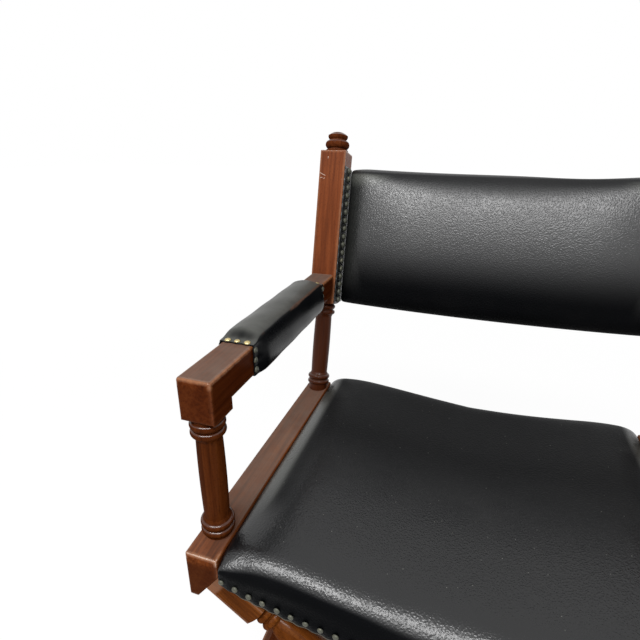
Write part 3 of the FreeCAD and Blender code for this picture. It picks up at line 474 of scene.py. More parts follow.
def nail_brass(name, bright):
    """Old brass under a grey-green patina, of which less is left on bright nails."""
    paint = Paint(name)
    here = paint.place()
    patch = paint.noise(here, 520, 4.0, 0.6)
    broad = paint.noise(here, 150, 2.0)
    tarnish = (patch * 0.7 + broad * 0.5).rise(0.20 + bright * 0.45, 0.54 + bright * 0.47)
    return paint.finish({
        "Base Color": paint.mix(tarnish, BRASS, PATINA),
        "Metallic": 0.95 - tarnish * 0.55,
        "Roughness": 0.30 + tarnish * 0.16 + patch * 0.08,
        "Normal": paint.bump(patch, 0.25, 0.0003),
    })


def dull_steel(name):
    """Brushed pivot steel with faint brown spots."""
    paint = Paint(name)
    here = paint.place()
    brushed = paint.noise(paint.stretched(here, (1, 0.06, 1)), 900, 3.0)
    spots = paint.noise(here, 190, 4.0, 0.65).rise(0.58, 0.74)
    base = paint.mix(brushed, STEEL_DARK, STEEL_LIGHT)
    return paint.finish({
        "Base Color": paint.mix(spots * 0.6, base, RUST),
        "Metallic": 1.0 - spots * 0.6,
        "Roughness": 0.36 + brushed * 0.12 + spots * 0.2,
        "Normal": paint.bump(brushed, 0.12, 0.0002),
    })


def soft_rubber(name):
    """Dark rubber with fine specks."""
    paint = Paint(name)
    here = paint.place()
    speck = paint.noise(here, 700, 3.0)
    return paint.finish({
        "Base Color": paint.mix(speck.rise(0.4, 0.7), RUBBER_DARK, RUBBER_LIGHT),
        "Roughness": 0.62 + speck * 0.2,
        "Normal": paint.bump(speck, 0.2, 0.0003),
    })


# The frame: wood, steel and rubber on the nodes whose own shape is shown

RAIL_BOX = (RAIL_HALF, RAIL_DEEP, RAIL_LONG / 2)
ARM_BOX = (ARM_HALF, ARM_DEEP, ARM_LONG)
POST_BOX = (POST_HALF, POST_HALF, 0.4)
STILE_BOX = (STILE_HALF, STILE_HALF, STILE_RUN)
FINIAL_BOX = (FINIAL_HALF, FINIAL_HALF, 0.9)
LEG_BOX = (LEG_HALF, LEG_HALF, LEG_REACH)

# Scratches near the top of the left stile, each from one point to another of its front, sideways and up
STILE_SCRATCHES = (
    ((-0.0216, 0.3920), (-0.0100, 0.3866)),
    ((-0.0205, 0.3830), (-0.0150, 0.3842)),
    ((-0.0142, 0.3812), (-0.0112, 0.3840)),
    ((-0.0080, 0.4200), (-0.0082, 0.4150)),
    ((0.0185, 0.3822), (0.0190, 0.3805)),
)


def dress(material, *nodes):
    """Give CAD nodes their finish."""
    for node in nodes:
        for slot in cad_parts[node].material_slots:
            slot.material = material


def dress_side(side, way):
    """The rail, runner, arm, post, stile and finial of one side."""
    middle = way * (HALF_WIDTH - RAIL_HALF)
    rail_y = (RAIL_FRONT + RAIL_REAR) / 2
    rail = varnished_wood(
        f"mahogany_rail_{side}", (middle, rail_y, RAIL_TOP - RAIL_DEEP), "X_AXIS", math.pi / 2, RAIL_BOX,
        tone=1.2, dust=0.70, ends=0.86, crest=True, tint=(1.0, 1.04, 0.9), swept=0.65, reach=0.02,
    )
    runner = varnished_wood(
        f"mahogany_runner_{side}", (middle, rail_y, RUNNER_HEIGHT), "X_AXIS", math.pi / 2, RAIL_BOX,
        tone=0.76, dust=0.2,
    )
    # The arm carries painted shade on its side towards the chair's middle
    arm = varnished_wood(
        f"mahogany_arm_{side}", (way * ARM_MIDDLE, ARM_FRONT + ARM_LONG, ARM_TOP - ARM_DEEP), "X_AXIS", math.pi / 2,
        ARM_BOX, tone=0.68, dust=0.64, block=(ARM_BLOCK_LONG - ARM_LONG, ARM_BLOCK_DEEP), inner=(-way, 0.66),
        ends=0.58, crest=True, tint=(1.0, 0.86, 0.72),
    )
    post = varnished_wood(
        f"mahogany_post_{side}", (way * ARM_MIDDLE, ARM_FRONT + POST_IN, RAIL_TOP), "X_AXIS", 0.0, POST_BOX,
        tone=0.50, wear=0.0, rings=1.0, stripe=0.4, tint=(1.0, 1.0, 0.8),
    )
    foot = STILE_FOOT + Vector((way * (HALF_WIDTH - STILE_HALF), 0, 0))
    stile = varnished_wood(
        f"mahogany_stile_{side}", foot, "X_AXIS", RAKE, STILE_BOX, tone=1.12, dust=0.2, wear=0.6,
        scratches=STILE_SCRATCHES if side == "left" else (), rings=0.5, specular=0.10, stripe=0.2, painted_shade_below=0.222,
    )
    finial = varnished_wood(
        f"mahogany_finial_{side}", foot, "X_AXIS", RAKE, FINIAL_BOX, tone=0.62, dust=0.30, wear=0.0, rings=1.0,
        stripe=0.4,
    )
    dress(rail, f"seat_rail_{side}", f"rail_plugs_{side}")
    dress(runner, f"runner_{side}", f"runner_plugs_{side}")
    dress(arm, f"arm_{side}", f"arm_dowel_{side}")
    dress(post, f"front_post_{side}")
    dress(stile, f"back_stile_{side}")
    dress(finial, f"finial_{side}")
    dress(rubber, f"runner_glides_{side}")
    dress(steel, f"rail_pins_{side}", f"runner_pins_{side}")


def dress_legs(legs, angle):
    """One leg pair with its tangs and rivets."""
    for end in ("front", "rear"):
        low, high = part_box(f"{end}_leg_{legs}")
        leg = varnished_wood(
            f"mahogany_{end}_leg_{legs}", (0, (low.y + high.y) / 2, CROSS_HEIGHT), "Y_AXIS", angle, LEG_BOX,
            tone=0.88, wear=0.4, rings=0.2, stripe=0.5, tint=(1.0, 1.16, 0.72),
        )
        dress(leg, f"{end}_leg_{legs}")
    dress(steel, f"leg_{legs}_tangs", f"leg_{legs}_rivets")


def dress_frame():
    for side, way in SIDES.items():
        dress_side(side, way)
    dress_legs("a", LEG_TILT)
    dress_legs("b", -LEG_TILT)
    dress(steel, "front_pivot_bolt", "rear_pivot_bolt", "pivot_nuts", "pivot_washers")


# Modelling helpers


def deselect():
    if bpy.context.object and bpy.context.object.mode != "OBJECT":
        bpy.ops.object.mode_set(mode="OBJECT")
    bpy.ops.object.select_all(action="DESELECT")


def pick(piece):
    deselect()
    piece.select_set(True)
    bpy.context.view_layer.objects.active = piece


def apply(piece, kind, **settings):
    """Add a modifier to a piece and apply it."""
    pick(piece)
    modifier = piece.modifiers.new(kind.lower(), kind)
    for key, value in settings.items():
        setattr(modifier, key, value)
    bpy.ops.object.modifier_apply(modifier=modifier.name)


def face_outwards(piece):
    pick(piece)
    bpy.ops.object.mode_set(mode="EDIT")
    bpy.ops.mesh.select_all(action="SELECT")
    bpy.ops.mesh.normals_make_consistent(inside=False)
    bpy.ops.object.mode_set(mode="OBJECT")


def points_of(piece):
    flat = np.empty(len(piece.data.vertices) * 3)
    piece.data.vertices.foreach_get("co", flat)
    return flat.reshape(-1, 3)


def move_points(piece, points):
    piece.data.vertices.foreach_set("co", np.asarray(points, dtype=np.float32).ravel())
    piece.data.update()


def cut_across(count, direction):
    """Cut the mesh that is being edited into equal lengths, along a way that it runs from 0 to 1."""
    for number in range(1, count):
        bpy.ops.mesh.select_all(action="SELECT")
        bpy.ops.mesh.bisect(plane_co=[number / count * part for part in direction], plane_no=direction)


def slab(name, columns, rows, levels):
    """A closed slab one unit deep: a grid drawn down and cut into levels. Runs from -1 to 1, and up from 0 to 1."""
    deselect()
    bpy.ops.mesh.primitive_grid_add(x_subdivisions=columns, y_subdivisions=rows, size=2, location=(0, 0, 1))
    piece = bpy.context.object
    piece.name = name
    bpy.ops.object.transform_apply(location=True, rotation=True, scale=True)
    bpy.ops.object.mode_set(mode="EDIT")
    bpy.ops.mesh.select_all(action="SELECT")
    bpy.ops.mesh.extrude_region_move(TRANSFORM_OT_translate={"value": (0, 0, -1)})
    cut_across(levels, (0, 0, 1))
    face_outwards(piece)
    return piece


def tube(name, sides, rings):
    """An open tube of unit radius that runs along Y from 0 to 1."""
    deselect()
    bpy.ops.mesh.primitive_cylinder_add(
        vertices=sides, radius=1, depth=1, end_fill_type="NOTHING", location=(0, 0.5, 0), rotation=(math.pi / 2, 0, 0),
    )
    piece = bpy.context.object
    piece.name = name
    bpy.ops.object.transform_apply(location=True, rotation=True, scale=True)
    bpy.ops.object.mode_set(mode="EDIT")
    cut_across(rings, (0, 1, 0))
    face_outwards(piece)
    return piece


def curve_through(places, heights, at):
    """A smooth line through a few points, level at its far end, read at some places."""
    places, heights, at = np.asarray(places), np.asarray(heights), np.clip(at, places[0], places[-1])
    slopes = np.gradient(heights, places)
    slopes[-1] = 0.0
    index = np.clip(np.searchsorted(places, at, side="right") - 1, 0, len(places) - 2)
    wide = places[index + 1] - places[index]
    share = (at - places[index]) / wide
    low, high = heights[index], heights[index + 1]
    return (
        low * (2 * share**3 - 3 * share**2 + 1) + slopes[index] * wide * (share**3 - 2 * share**2 + share)
        + high * (3 * share**2 - 2 * share**3) + slopes[index + 1] * wide * (share**3 - share**2)
    )


def eased(far, reach):
    """0 at an edge, rising to 1 at some reach from it, level there."""
    return np.sin(math.pi / 2 * np.clip(far / reach, 0, 1))


PUFF_FRAMES = 20
HELD_EDGE = 0.985


def puff(piece, held, pressure, cap):
    """Swell a padded cover by cloth simulation with its nailed edges held, and limit how far it moves."""
    start = points_of(piece)
    grip = piece.vertex_groups.new(name="held")
    grip.add([int(index) for index in np.nonzero(held)[0]], 1.0, "REPLACE")
    pick(piece)
    cloth = piece.modifiers.new("cover", "CLOTH")
    cover = cloth.settings
    cover.quality = 6
    cover.mass = 0.25
    cover.tension_stiffness = 40
    cover.compression_stiffness = 40
    cover.shear_stiffness = 20
    cover.bending_stiffness = 6
    cover.use_pressure = True
    cover.uniform_pressure_force = pressure
    cover.vertex_group_mass = "held"
    cover.effector_weights.gravity = 0
    cloth.collision_settings.use_self_collision = False
    cloth.point_cache.frame_start, cloth.point_cache.frame_end = 1, PUFF_FRAMES
    scene = bpy.context.scene
    for number in range(1, PUFF_FRAMES + 1):
        scene.frame_set(number)
    bpy.ops.object.modifier_apply(modifier=cloth.name)
    scene.frame_set(1)
    step = points_of(piece) - start
    length = np.linalg.norm(step, axis=1, keepdims=True)
    limit = cap * np.tanh(length / cap)
    move_points(piece, start + step * limit / np.maximum(length, 1e-9))
    piece.vertex_groups.clear()


def settle(piece, material, body):
    """Finish a new piece: smooth faces, its paint, and the body that carries it."""
    piece.data.materials.clear()
    piece.data.materials.append(material)
    pick(piece)
    bpy.ops.object.shade_smooth()
    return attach(piece, body)


# Seat: one leather cover over stuffing, slung between the rails

SEAT_OUT = RAIL_INNER - 0.0006
SEAT_FRONT = ARM_FRONT - 0.0268
SEAT_REAR = RAIL_REAR + 0.0028
SEAT_SPAN = SEAT_REAR - SEAT_FRONT
SEAT_ROWS = 86

# Height of the crown over the rails at some places off the middle, and how far the rear one leans to the right
SEAT_PLACES = [0.0, 0.060, 0.110, 0.1545, 0.190, 0.214, 0.236, 0.250, 0.2565, SEAT_OUT]
SEAT_FRONT_TOP = [-0.0205, -0.018, -0.0105, -0.0015, 0.0045, 0.0062, 0.0050, 0.0022, -0.0008, -0.0035]
SEAT_REAR_TOP = [0.0056, 0.0085, 0.0119, 0.0155, 0.0182, 0.0186, 0.0162, 0.0090, 0.0020, -0.0030]
SEAT_LEAN = 0.034
SEAT_SAG = 0.004

# The underside falls from beside the rails to a flat, with a belly in the middle
UNDER_OUT = 0.247
UNDER_SLOPE = 0.0445
UNDER_FALL = 0.0395
UNDER_START = 0.005
BELLY_OUT = 0.187
BELLY_DEEP = 0.0175

# The roll at the front and at the rear, and the faces below it down to the hem
ROLL_DEEP = (0.034, 0.020)
ROLL_DROP = (0.031, 0.019)
ROLL_START = math.radians(42)
ROLL_TAPER = 0.030
ROLL_AT_SIDES = 0.35
ROLL_EASE = 0.15
FACE_SHARE = 0.4
LIP_RUNS = np.array((0.0, 0.0024, 0.0027))
LEAST_THICK = 0.002
SIDE_TUCK = 0.0045
TUCK_BELOW = 0.004

HEM_END = -0.033
HEM_SAG = 0.033
HEM_HALF = RAIL_INNER - 0.003
HEM_CURVE = (HEM_HALF**2 + HEM_SAG**2) / (2 * HEM_SAG)
HEM_CENTRE = RAIL_TOP + HEM_END - HEM_SAG + HEM_CURVE
SEAT_NAILS = 30
SEAT_NAILS_OUT = HEM_HALF - 0.0045
SEAT_NAIL_IN = 0.0105

# Pleats on the faces between the nails: how deep, how high up, how tall and how far in, and the cut edge's wave
PLEAT_DEEP = 0.0007
PLEAT_HIGH = 0.007
PLEAT_TALL = 0.013
PLEAT_REACH = 0.012
EDGE_WAVE = 0.0006
EDGE_TALL = 0.004

# How far up the cover is held while it swells, the pressure, and how far it may move
SEAT_HELD = 0.28
SEAT_PRESSURE = 2.2
SEAT_SWELL = 0.0045


def hem_drop(x):
    """Height of the cover's lower edge above the floor, in the line of its sag."""
    return HEM_CENTRE - np.sqrt(HEM_CURVE**2 - np.minimum(np.abs(x), HEM_HALF)**2)


def seat_top(x, share):
    """Height of the crown from the front (0) to the rear (1)."""
    inside = 1 - (x / SEAT_OUT) ** 2
    front = curve_through(SEAT_PLACES, SEAT_FRONT_TOP, np.abs(x))
    rear = curve_through(SEAT_PLACES, SEAT_REAR_TOP, np.abs(x)) - SEAT_LEAN * x * inside
    sag = -SEAT_SAG * np.sin(np.pi * share) * inside
    return RAIL_TOP + front + (rear - front) * share + sag


def seat_under(x):
    """Height of the underside, which clears the hems, and the leg ends that swing up beside them."""
    side = np.abs(x)
    slope = RAIL_TOP - UNDER_START - np.clip(UNDER_OUT - side, 0, UNDER_SLOPE) / UNDER_SLOPE * UNDER_FALL
    return slope - BELLY_DEEP * np.clip(1 - (side / BELLY_OUT) ** 2, 0, 1)


def seat_shape(grid):
    """Turn the slab's points into the seat: rolled over at front and rear, hemmed at the lower edge."""
    sideways, depth, up = grid.T
    x = SEAT_OUT * sideways
    run = (depth + 1) / 2 * SEAT_SPAN
    from_end = np.minimum(run, SEAT_SPAN - run)
    rear = run > SEAT_SPAN / 2
    taper = np.clip((SEAT_OUT - np.abs(x)) / ROLL_TAPER, 0, 1)
    deep_roll = np.where(rear, ROLL_DEEP[1], ROLL_DEEP[0])
    drop = np.where(rear, ROLL_DROP[1], ROLL_DROP[0]) * (ROLL_AT_SIDES + (1 - ROLL_AT_SIDES) * taper)

    # The crown, whose first part bends down into the roll
    bend = np.clip(from_end / (deep_roll * (1 + ROLL_EASE)), 0, 1)
    angle = ROLL_START + (math.pi / 2 - ROLL_START) * bend
    fall = drop * (1 - np.sin(angle))
    deep = np.where(bend < 1, deep_roll * (1 - np.cos(angle)), from_end - deep_roll * ROLL_EASE)
    crown_run = np.where(rear, SEAT_SPAN - deep, deep)
    crown = seat_top(x, np.clip(crown_run / SEAT_SPAN, 0, 1)) - fall

    # The front and rear faces, from the roll down to the hem
    face_angle = ROLL_START * np.clip((up - FACE_SHARE) / (1 - FACE_SHARE), 0, 1)
    face_deep = deep_roll * (1 - np.cos(face_angle))
    face_top = seat_top(x, np.where(rear, 1.0, 0.0)) - drop * (1 - np.sin(face_angle))
    hem = hem_drop(x)
    face = np.where(up >= FACE_SHARE, face_top, hem + (face_top - hem) * np.clip(up / FACE_SHARE, 0, 1))

    # The underside, with a thin hanging lip at both ends
    floor = np.minimum(seat_under(x), crown - LEAST_THICK)
    row = np.round(from_end / (SEAT_SPAN / SEAT_ROWS)).astype(int)
    under_run = np.where(row <= 2, LIP_RUNS[np.clip(row, 0, 2)], from_end)
    under_run = np.where(rear, SEAT_SPAN - under_run, under_run)
    under = np.where(row <= 1, hem, floor)

    # Each point belongs to the top, the underside, an end or a side
    top_point = up > 0.999
    bottom_point = up < 0.001
    end_point = (from_end < 1e-6) & ~top_point & ~bottom_point
    side_point = ~(top_point | bottom_point | end_point)
    y_run = np.where(top_point, crown_run, np.where(bottom_point, under_run, run))
    y_run = np.where(end_point, np.where(rear, SEAT_SPAN - face_deep, face_deep), y_run)
    y_run = np.where(side_point, crown_run * up + under_run * (1 - up), y_run)
    z = np.where(top_point, crown, np.where(bottom_point, under, face))
    edge_top = seat_top(x, np.clip(run / SEAT_SPAN, 0, 1)) - fall
    z = np.where(side_point, floor + (edge_top - floor) * up, z)
    low = np.clip((RAIL_TOP - TUCK_BELOW - z) / TUCK_BELOW, 0, 1)
    tuck = np.where(side_point | bottom_point, SIDE_TUCK * low, 0.0)
    x = np.sign(x) * (np.abs(x) - tuck * (np.abs(sideways) > 0.999))
    return np.column_stack((x, SEAT_FRONT + y_run, z))


def seat_pleats(points):
    """Soft pleats that run up from between the nails, and a slight wave in the cut edge."""
    x, y, z = points.T
    outward = np.where(y < 0, -1.0, 1.0)
    face = np.clip(1 - np.minimum(y - SEAT_FRONT, SEAT_REAR - y) / PLEAT_REACH, 0, 1)
    high = z - hem_drop(x)
    phase = (x + SEAT_NAILS_OUT) / (2 * SEAT_NAILS_OUT) * SEAT_NAILS
    pleat = -np.cos(2 * math.pi * phase) * np.exp(-(((high - PLEAT_HIGH) / PLEAT_TALL) ** 2)) * face
    wave = EDGE_WAVE * np.sin(phase * 2.1 + 0.7) * face * (high < EDGE_TALL)
    return np.column_stack((x, y + outward * PLEAT_DEEP * pleat, z + wave))


def seat_cover():
    piece = slab("seat_leather", columns=104, rows=SEAT_ROWS, levels=10)
    grid = points_of(piece)
    move_points(piece, seat_shape(grid))
    sideways, _, up = grid.T
    puff(piece, (np.abs(sideways) > HELD_EDGE) | (up < SEAT_HELD), SEAT_PRESSURE, SEAT_SWELL)
    apply(piece, "SMOOTH", factor=0.5, iterations=4)
    apply(piece, "SUBSURF", levels=1, render_levels=1)
    move_points(piece, seat_pleats(points_of(piece)))
    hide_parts("seat_cushion", "seat_front_border", "seat_rear_border")
    settle(piece, seat_leather, "left_frame")
    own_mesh(piece)


# Back: a padded cover between the stiles, in the line of their rake

BACK_OUT = STILE_INNER - 0.0031
BACK_LOW = 0.161 / math.cos(RAKE)
BACK_TOP = 0.393 / math.cos(RAKE)
BACK_PRESSURE = 1.2
BACK_SWELL = 0.0012

# Half its thickness at the stiles and what it gains between them, how far in, and where its middle lies
BACK_THIN = 0.0050
BACK_THICK = 0.0092
BACK_FULL = 0.038
BACK_MIDDLE = 0.018
BACK_FORWARD = 0.003

# The bow of its faces: at the stiles, what it gains between them, how far in, and its share on the rear face
CROWN_LEAST = 0.001
CROWN_RISE = 0.0165
CROWN_REACH = 0.115
CROWN_REAR = 0.5

# How its top and bottom lines leave the straight, with a slack place right of the middle
TOP_SWELL = 0.003
TOP_SAG = 0.006
LOW_SAG = 0.005
SLACK_DEEP = 0.004
SLACK_PLACE = 0.13
SLACK_WIDE = 0.08

# The round ends of a section, as shares of half its thickness
END_LONG = 1.1
END_CAP = 0.18
END_TURN = 0.82


def from_stile(points):
    """Points given sideways, towards the back and up the stile, set into the rake of the stile."""
    x, back, along = np.asarray(points, dtype=float).T
    y = STILE_FOOT.y + back * math.cos(RAKE) + along * math.sin(RAKE)
    z = STILE_FOOT.z - back * math.sin(RAKE) + along * math.cos(RAKE)
    return np.column_stack((x, y, z))


def back_shape(grid):
    """Turn the slab's points into the back: thin at the stiles, full and bowed between them."""
    sideways, height, up = grid.T
    x = BACK_OUT * sideways
    from_stiles = BACK_OUT - np.abs(x)
    inside = 1 - sideways**2
    full = eased(from_stiles, BACK_FULL)
    half = BACK_THIN + BACK_THICK * full
    crown = CROWN_LEAST + CROWN_RISE * eased(from_stiles, CROWN_REACH)
    middle = BACK_MIDDLE - BACK_FORWARD * full
    slack = SLACK_DEEP * np.exp(-(((x - SLACK_PLACE) / SLACK_WIDE) ** 2))
    top = BACK_TOP + TOP_SWELL * full - TOP_SAG * inside - slack
    low = BACK_LOW - LOW_SAG * inside
    reach = (top - low) / 2
    centre = (top + low) / 2

    # Each section is a rounded bar: flat faces that bend into round ends
    round_end = half * END_LONG
    shrink = round_end * END_CAP
    far = np.abs(height)
    turn = np.clip((far * reach - (reach - round_end)) / round_end, 0, 1)
    side = np.where(up > 0.5, -1.0, 1.0) * np.minimum(1.0, np.abs(up - 0.5) * 2)
    bulge = np.where(side < 0, crown, crown * CROWN_REAR) * np.clip(1 - (far * 1.04) ** 2.2, 0, 1)
    thin = np.sqrt(np.clip(1 - (END_TURN * turn) ** 2, 0, 1))
    depth = side * (half * thin + bulge)
    cap = np.where(far > 0.999, shrink * np.sqrt(np.clip(1 - side**2, 0, 1)), 0.0)
    along = centre + np.sign(height) * (far * (reach - shrink) + cap)
    return from_stile(np.column_stack((x, middle + depth, along)))


def back_cover():
    piece = slab("back_leather", columns=102, rows=48, levels=6)
    grid = points_of(piece)
    move_points(piece, back_shape(grid))
    puff(piece, np.abs(grid[:, 0]) > HELD_EDGE, BACK_PRESSURE, BACK_SWELL)
    apply(piece, "SMOOTH", factor=0.5, iterations=5)
    apply(piece, "SUBSURF", levels=1, render_levels=1)
    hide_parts("back_cushion")
    settle(piece, back_leather, "left_frame")
    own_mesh(piece)


# Flat strips: the ends of the back cover on the stiles, and the hems of the seat on the rails

STRIP_FRONT = -0.0212
STRIP_DEEP = 0.0439
STRIP_THICK = 0.0019
STRIP_GAP = 0.0001
STRIP_EDGE = 0.0005
STRIP_SCALLOP = 0.0007
STRIP_DIMPLE = 0.0005
HEM_THICK = 0.0021
HEM_WAVE = 0.0004
HEM_UNEVEN = 0.0003
BACK_NAIL_IN = 0.005
BACK_NAIL_RUN = BACK_TOP - BACK_LOW - 2 * BACK_NAIL_IN
BACK_NAIL_PITCH = 0.0144
BACK_NAILS = round(BACK_NAIL_RUN / BACK_NAIL_PITCH)


def round_edges(piece):
    apply(piece, "BEVEL", width=STRIP_EDGE, segments=2, limit_method="ANGLE")
    face_outwards(piece)


def back_flanges():
    """The nailed ends of the back cover, flat on the inner sides of the stiles and drawn in at each nail."""
    for side, way in SIDES.items():
        piece = slab(f"back_flange_{side}", columns=14, rows=66, levels=1)
        depth, height, up = points_of(piece).T
        along = (BACK_LOW + BACK_TOP) / 2 + height * (BACK_TOP - BACK_LOW) / 2
        beat = np.cos(2 * math.pi * (along - BACK_LOW - BACK_NAIL_IN) / BACK_NAIL_RUN * BACK_NAILS)
        scallop = STRIP_SCALLOP * beat * np.clip(-depth, 0, 1)
        thick = STRIP_THICK - STRIP_DIMPLE * beat * np.exp(-(((depth + 0.55) / 0.5) ** 2))
        back = STRIP_FRONT + (depth + 1) / 2 * STRIP_DEEP + scallop
        x = way * (STILE_INNER - STRIP_GAP - up * thick)
        move_points(piece, from_stile(np.column_stack((x, back, along))))
        round_edges(piece)
        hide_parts(f"back_strip_{side}")
        settle(piece, trim_leather, f"{side}_frame")


def seat_hems():
    """The leather hem tacked to the rail under the cushion's edge, slightly wavy."""
    for side, way in SIDES.items():
        low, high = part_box(f"seat_hem_{side}")
        piece = slab(f"seat_hem_cover_{side}", columns=60, rows=6, levels=1)
        length, height, up = points_of(piece).T
        y = (low.y + high.y) / 2 + length * (high.y - low.y) / 2
        z = (low.z + high.z) / 2 + height * (high.z - low.z) / 2 + HEM_WAVE * np.sin(y * 260)
        thick = HEM_THICK + HEM_UNEVEN * np.sin(y * 190)
        x = way * (RAIL_INNER - STRIP_GAP - up * thick)
        move_points(piece, np.column_stack((x, y, z)))
        round_edges(piece)
        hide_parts(f"seat_hem_{side}")
        settle(piece, trim_leather, f"{side}_frame")


# Arm pads

PAD_START = ARM_FRONT + 0.089
PAD_END = ARM_FRONT + 0.350
PAD_FLAT = 0.011
PAD_SLOPE = 0.018
PAD_SKIN = 0.0021
PAD_BELLY = 0.0078
PAD_CROWN = 0.0062
PAD_SHOULDER = 0.0040
PAD_UNDER = 0.0035
PAD_DROOP = 0.76
PAD_REAR_SLOPE = 0.6
PAD_RIPPLE = 0.0003
PAD_PUCKER = 0.0004
PAD_DRAWN_IN = 0.0020
PAD_BARE = 0.0008
PAD_LEATHER = 0.0016
PAD_NAIL_IN = 0.006
PAD_NAIL_PITCH = 0.013


def pad_section(angle, swell):
    """The cover round the arm at a turn: flat below, a belly at each side, a crown on top."""
    turn = ((angle + 0.75 * math.pi) / (math.pi / 2)) % 4
    face = np.minimum(np.floor(turn).astype(int), 3)
    share = turn - face
    bow = 4 * share * (1 - share)
    lower = np.where(face == 1, share, 1 - share) ** PAD_DROOP
    sag = 4 * lower * (1 - lower)
    edge = ARM_HALF + PAD_SKIN
    low = -ARM_DEEP - PAD_SKIN - PAD_UNDER * swell
    shoulder = ARM_DEEP + PAD_SKIN + PAD_SHOULDER * swell
    belly = edge + PAD_BELLY * swell * sag
    crown = shoulder + PAD_CROWN * swell * bow
    across = np.choose(face, [edge * (2 * share - 1), belly, edge * (1 - 2 * share), -belly])
    rising = low + (shoulder - low) * share
    falling = shoulder + (low - shoulder) * share
    return across, np.choose(face, [low, rising, crown, falling])


def arm_pads():
    """Leather drawn round the arm: flat where it is nailed, full between, with a crease at its shoulders."""
    for side, way in SIDES.items():
        piece = tube(f"arm_leather_{side}", sides=96, rings=72)
        across, along, up = points_of(piece).T
        angle = np.arctan2(up, across)
        y = PAD_START + along * (PAD_END - PAD_START)
        from_end = np.minimum(y - PAD_START, PAD_END - y)
        slope = np.where(along > 0.5, PAD_SLOPE * PAD_REAR_SLOPE, PAD_SLOPE)
        swell = eased(from_end - PAD_FLAT, slope) ** 1.2
        px, pz = pad_section(angle, swell)
        ripple = PAD_RIPPLE * np.sin(y * 95 + angle * 2) * swell

        # Small puckers that run in from the nails, and a cut edge drawn in between them
        near = np.exp(-((np.clip(from_end - 0.009, 0, None) / 0.007) ** 2)) * (from_end > 0.004)
        flat = np.abs(pz) > np.abs(px)
        beat = np.cos(2 * math.pi * np.where(flat, px, pz) / PAD_NAIL_PITCH)
        uneven = -PAD_PUCKER * beat * near + ripple
        x = way * ARM_MIDDLE + px + np.sign(px) * np.where(flat, 0, uneven)
        z = ARM_TOP - ARM_DEEP + pz + np.sign(pz) * np.where(flat, uneven, 0)
        drawn_in = PAD_DRAWN_IN * (0.5 - 0.5 * beat) + PAD_BARE
        y = np.where(from_end < 1e-6, y + np.where(along > 0.5, -drawn_in, drawn_in), y)
        move_points(piece, np.column_stack((x, y, z)))
        apply(piece, "SMOOTH", factor=0.5, iterations=2)
        apply(piece, "SOLIDIFY", thickness=PAD_LEATHER, offset=-1)
        apply(piece, "SUBSURF", levels=1, render_levels=1)
        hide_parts(f"arm_pad_{side}")
        settle(piece, arm_leather, f"{side}_frame")


# Domed nails

NAIL_RADIUS = 0.0044
NAIL_RISE = 0.0026
NAIL_TILT = 0.10
NAIL_GROW = 0.05
NAIL_STRAY = 0.0004
BACK_NAIL_BACK = 0.022 - STILE_HALF
BACK_NAIL_OUT = STILE_INNER - 0.0022
SEAT_NAIL_SUNK = 0.0004
ARM_NAIL_UP = 0.0022

# Width and rise of the heads, as shares of the model's
ARM_NAIL_SIZE = (0.905, 0.905)
BACK_NAIL_SIZE = (1.30, 1.75)
SEAT_NAIL_SIZE = (0.80, 0.95)

# The rows' random draws start from these, one less at the left or the front and one more at the right or the rear
BACK_NAIL_SEED = 11
ARM_TOP_SEED = 21
ARM_SIDE_SEED = 31
SEAT_NAIL_SEED = 41


def nail_model():
    """One domed head: half a ball, flattened, closed below."""
    deselect()
    bpy.ops.mesh.primitive_uv_sphere_add(segments=18, ring_count=12, radius=1, location=(0, 0, 0))
    piece = bpy.context.object
    bpy.ops.object.mode_set(mode="EDIT")
    bpy.ops.mesh.select_all(action="SELECT")
    bpy.ops.mesh.bisect(plane_co=(0, 0, -0.02), plane_no=(0, 0, 1), clear_inner=True, use_fill=True)
    bpy.ops.mesh.select_all(action="SELECT")
    bpy.ops.transform.resize(value=(NAIL_RADIUS, NAIL_RADIUS, NAIL_RISE), center_override=(0, 0, 0))
    face_outwards(piece)
    return piece


def nail_row(name, model, places, seed, size):
    """Copies of the nail at places with outward directions, each a little askew, joined into one row."""
    draw = random.Random(seed)
    wide, rise = size
    copies = []
    for spot, outward in places:
        outward = Vector(outward)
        copy = bpy.data.objects.new(name, model.data.copy())
        bpy.context.scene.collection.objects.link(copy)
        aim = outward.to_track_quat("Z", "Y").to_matrix().to_4x4()
        tilt = Matrix.Rotation(draw.uniform(-NAIL_TILT, NAIL_TILT), 4, "X")
        tilt = tilt @ Matrix.Rotation(draw.uniform(-NAIL_TILT, NAIL_TILT), 4, "Y")
        grow = Matrix.Diagonal((wide, wide, rise, 1)) * draw.uniform(1 - NAIL_GROW, 1 + NAIL_GROW)
        grow[3][3] = 1
        shift = Vector([draw.uniform(-NAIL_STRAY, NAIL_STRAY) for _ in range(3)])
        shift -= outward * shift.dot(outward)
        copy.data.transform(Matrix.Translation(Vector(spot) + shift) @ aim @ tilt @ grow)
        copies.append(copy)
    deselect()
    for copy in copies:
        copy.select_set(True)
    bpy.context.view_layer.objects.active = copies[0]
    bpy.ops.object.join()
    row = bpy.context.object
    row.name = name
    return row


def back_nails(model, side, way):
    row = []
    for index in range(BACK_NAILS + 1):
        along = BACK_LOW + BACK_NAIL_IN + BACK_NAIL_RUN * index / BACK_NAILS
        spot = from_stile([(way * BACK_NAIL_OUT, BACK_NAIL_BACK, along)])[0]
        row.append((spot, (-way, 0, 0)))
    piece = nail_row(f"back_nail_row_{side}", model, row, BACK_NAIL_SEED + way, BACK_NAIL_SIZE)
    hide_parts(f"back_nails_{side}")
    settle(piece, old_brass, f"{side}_frame")


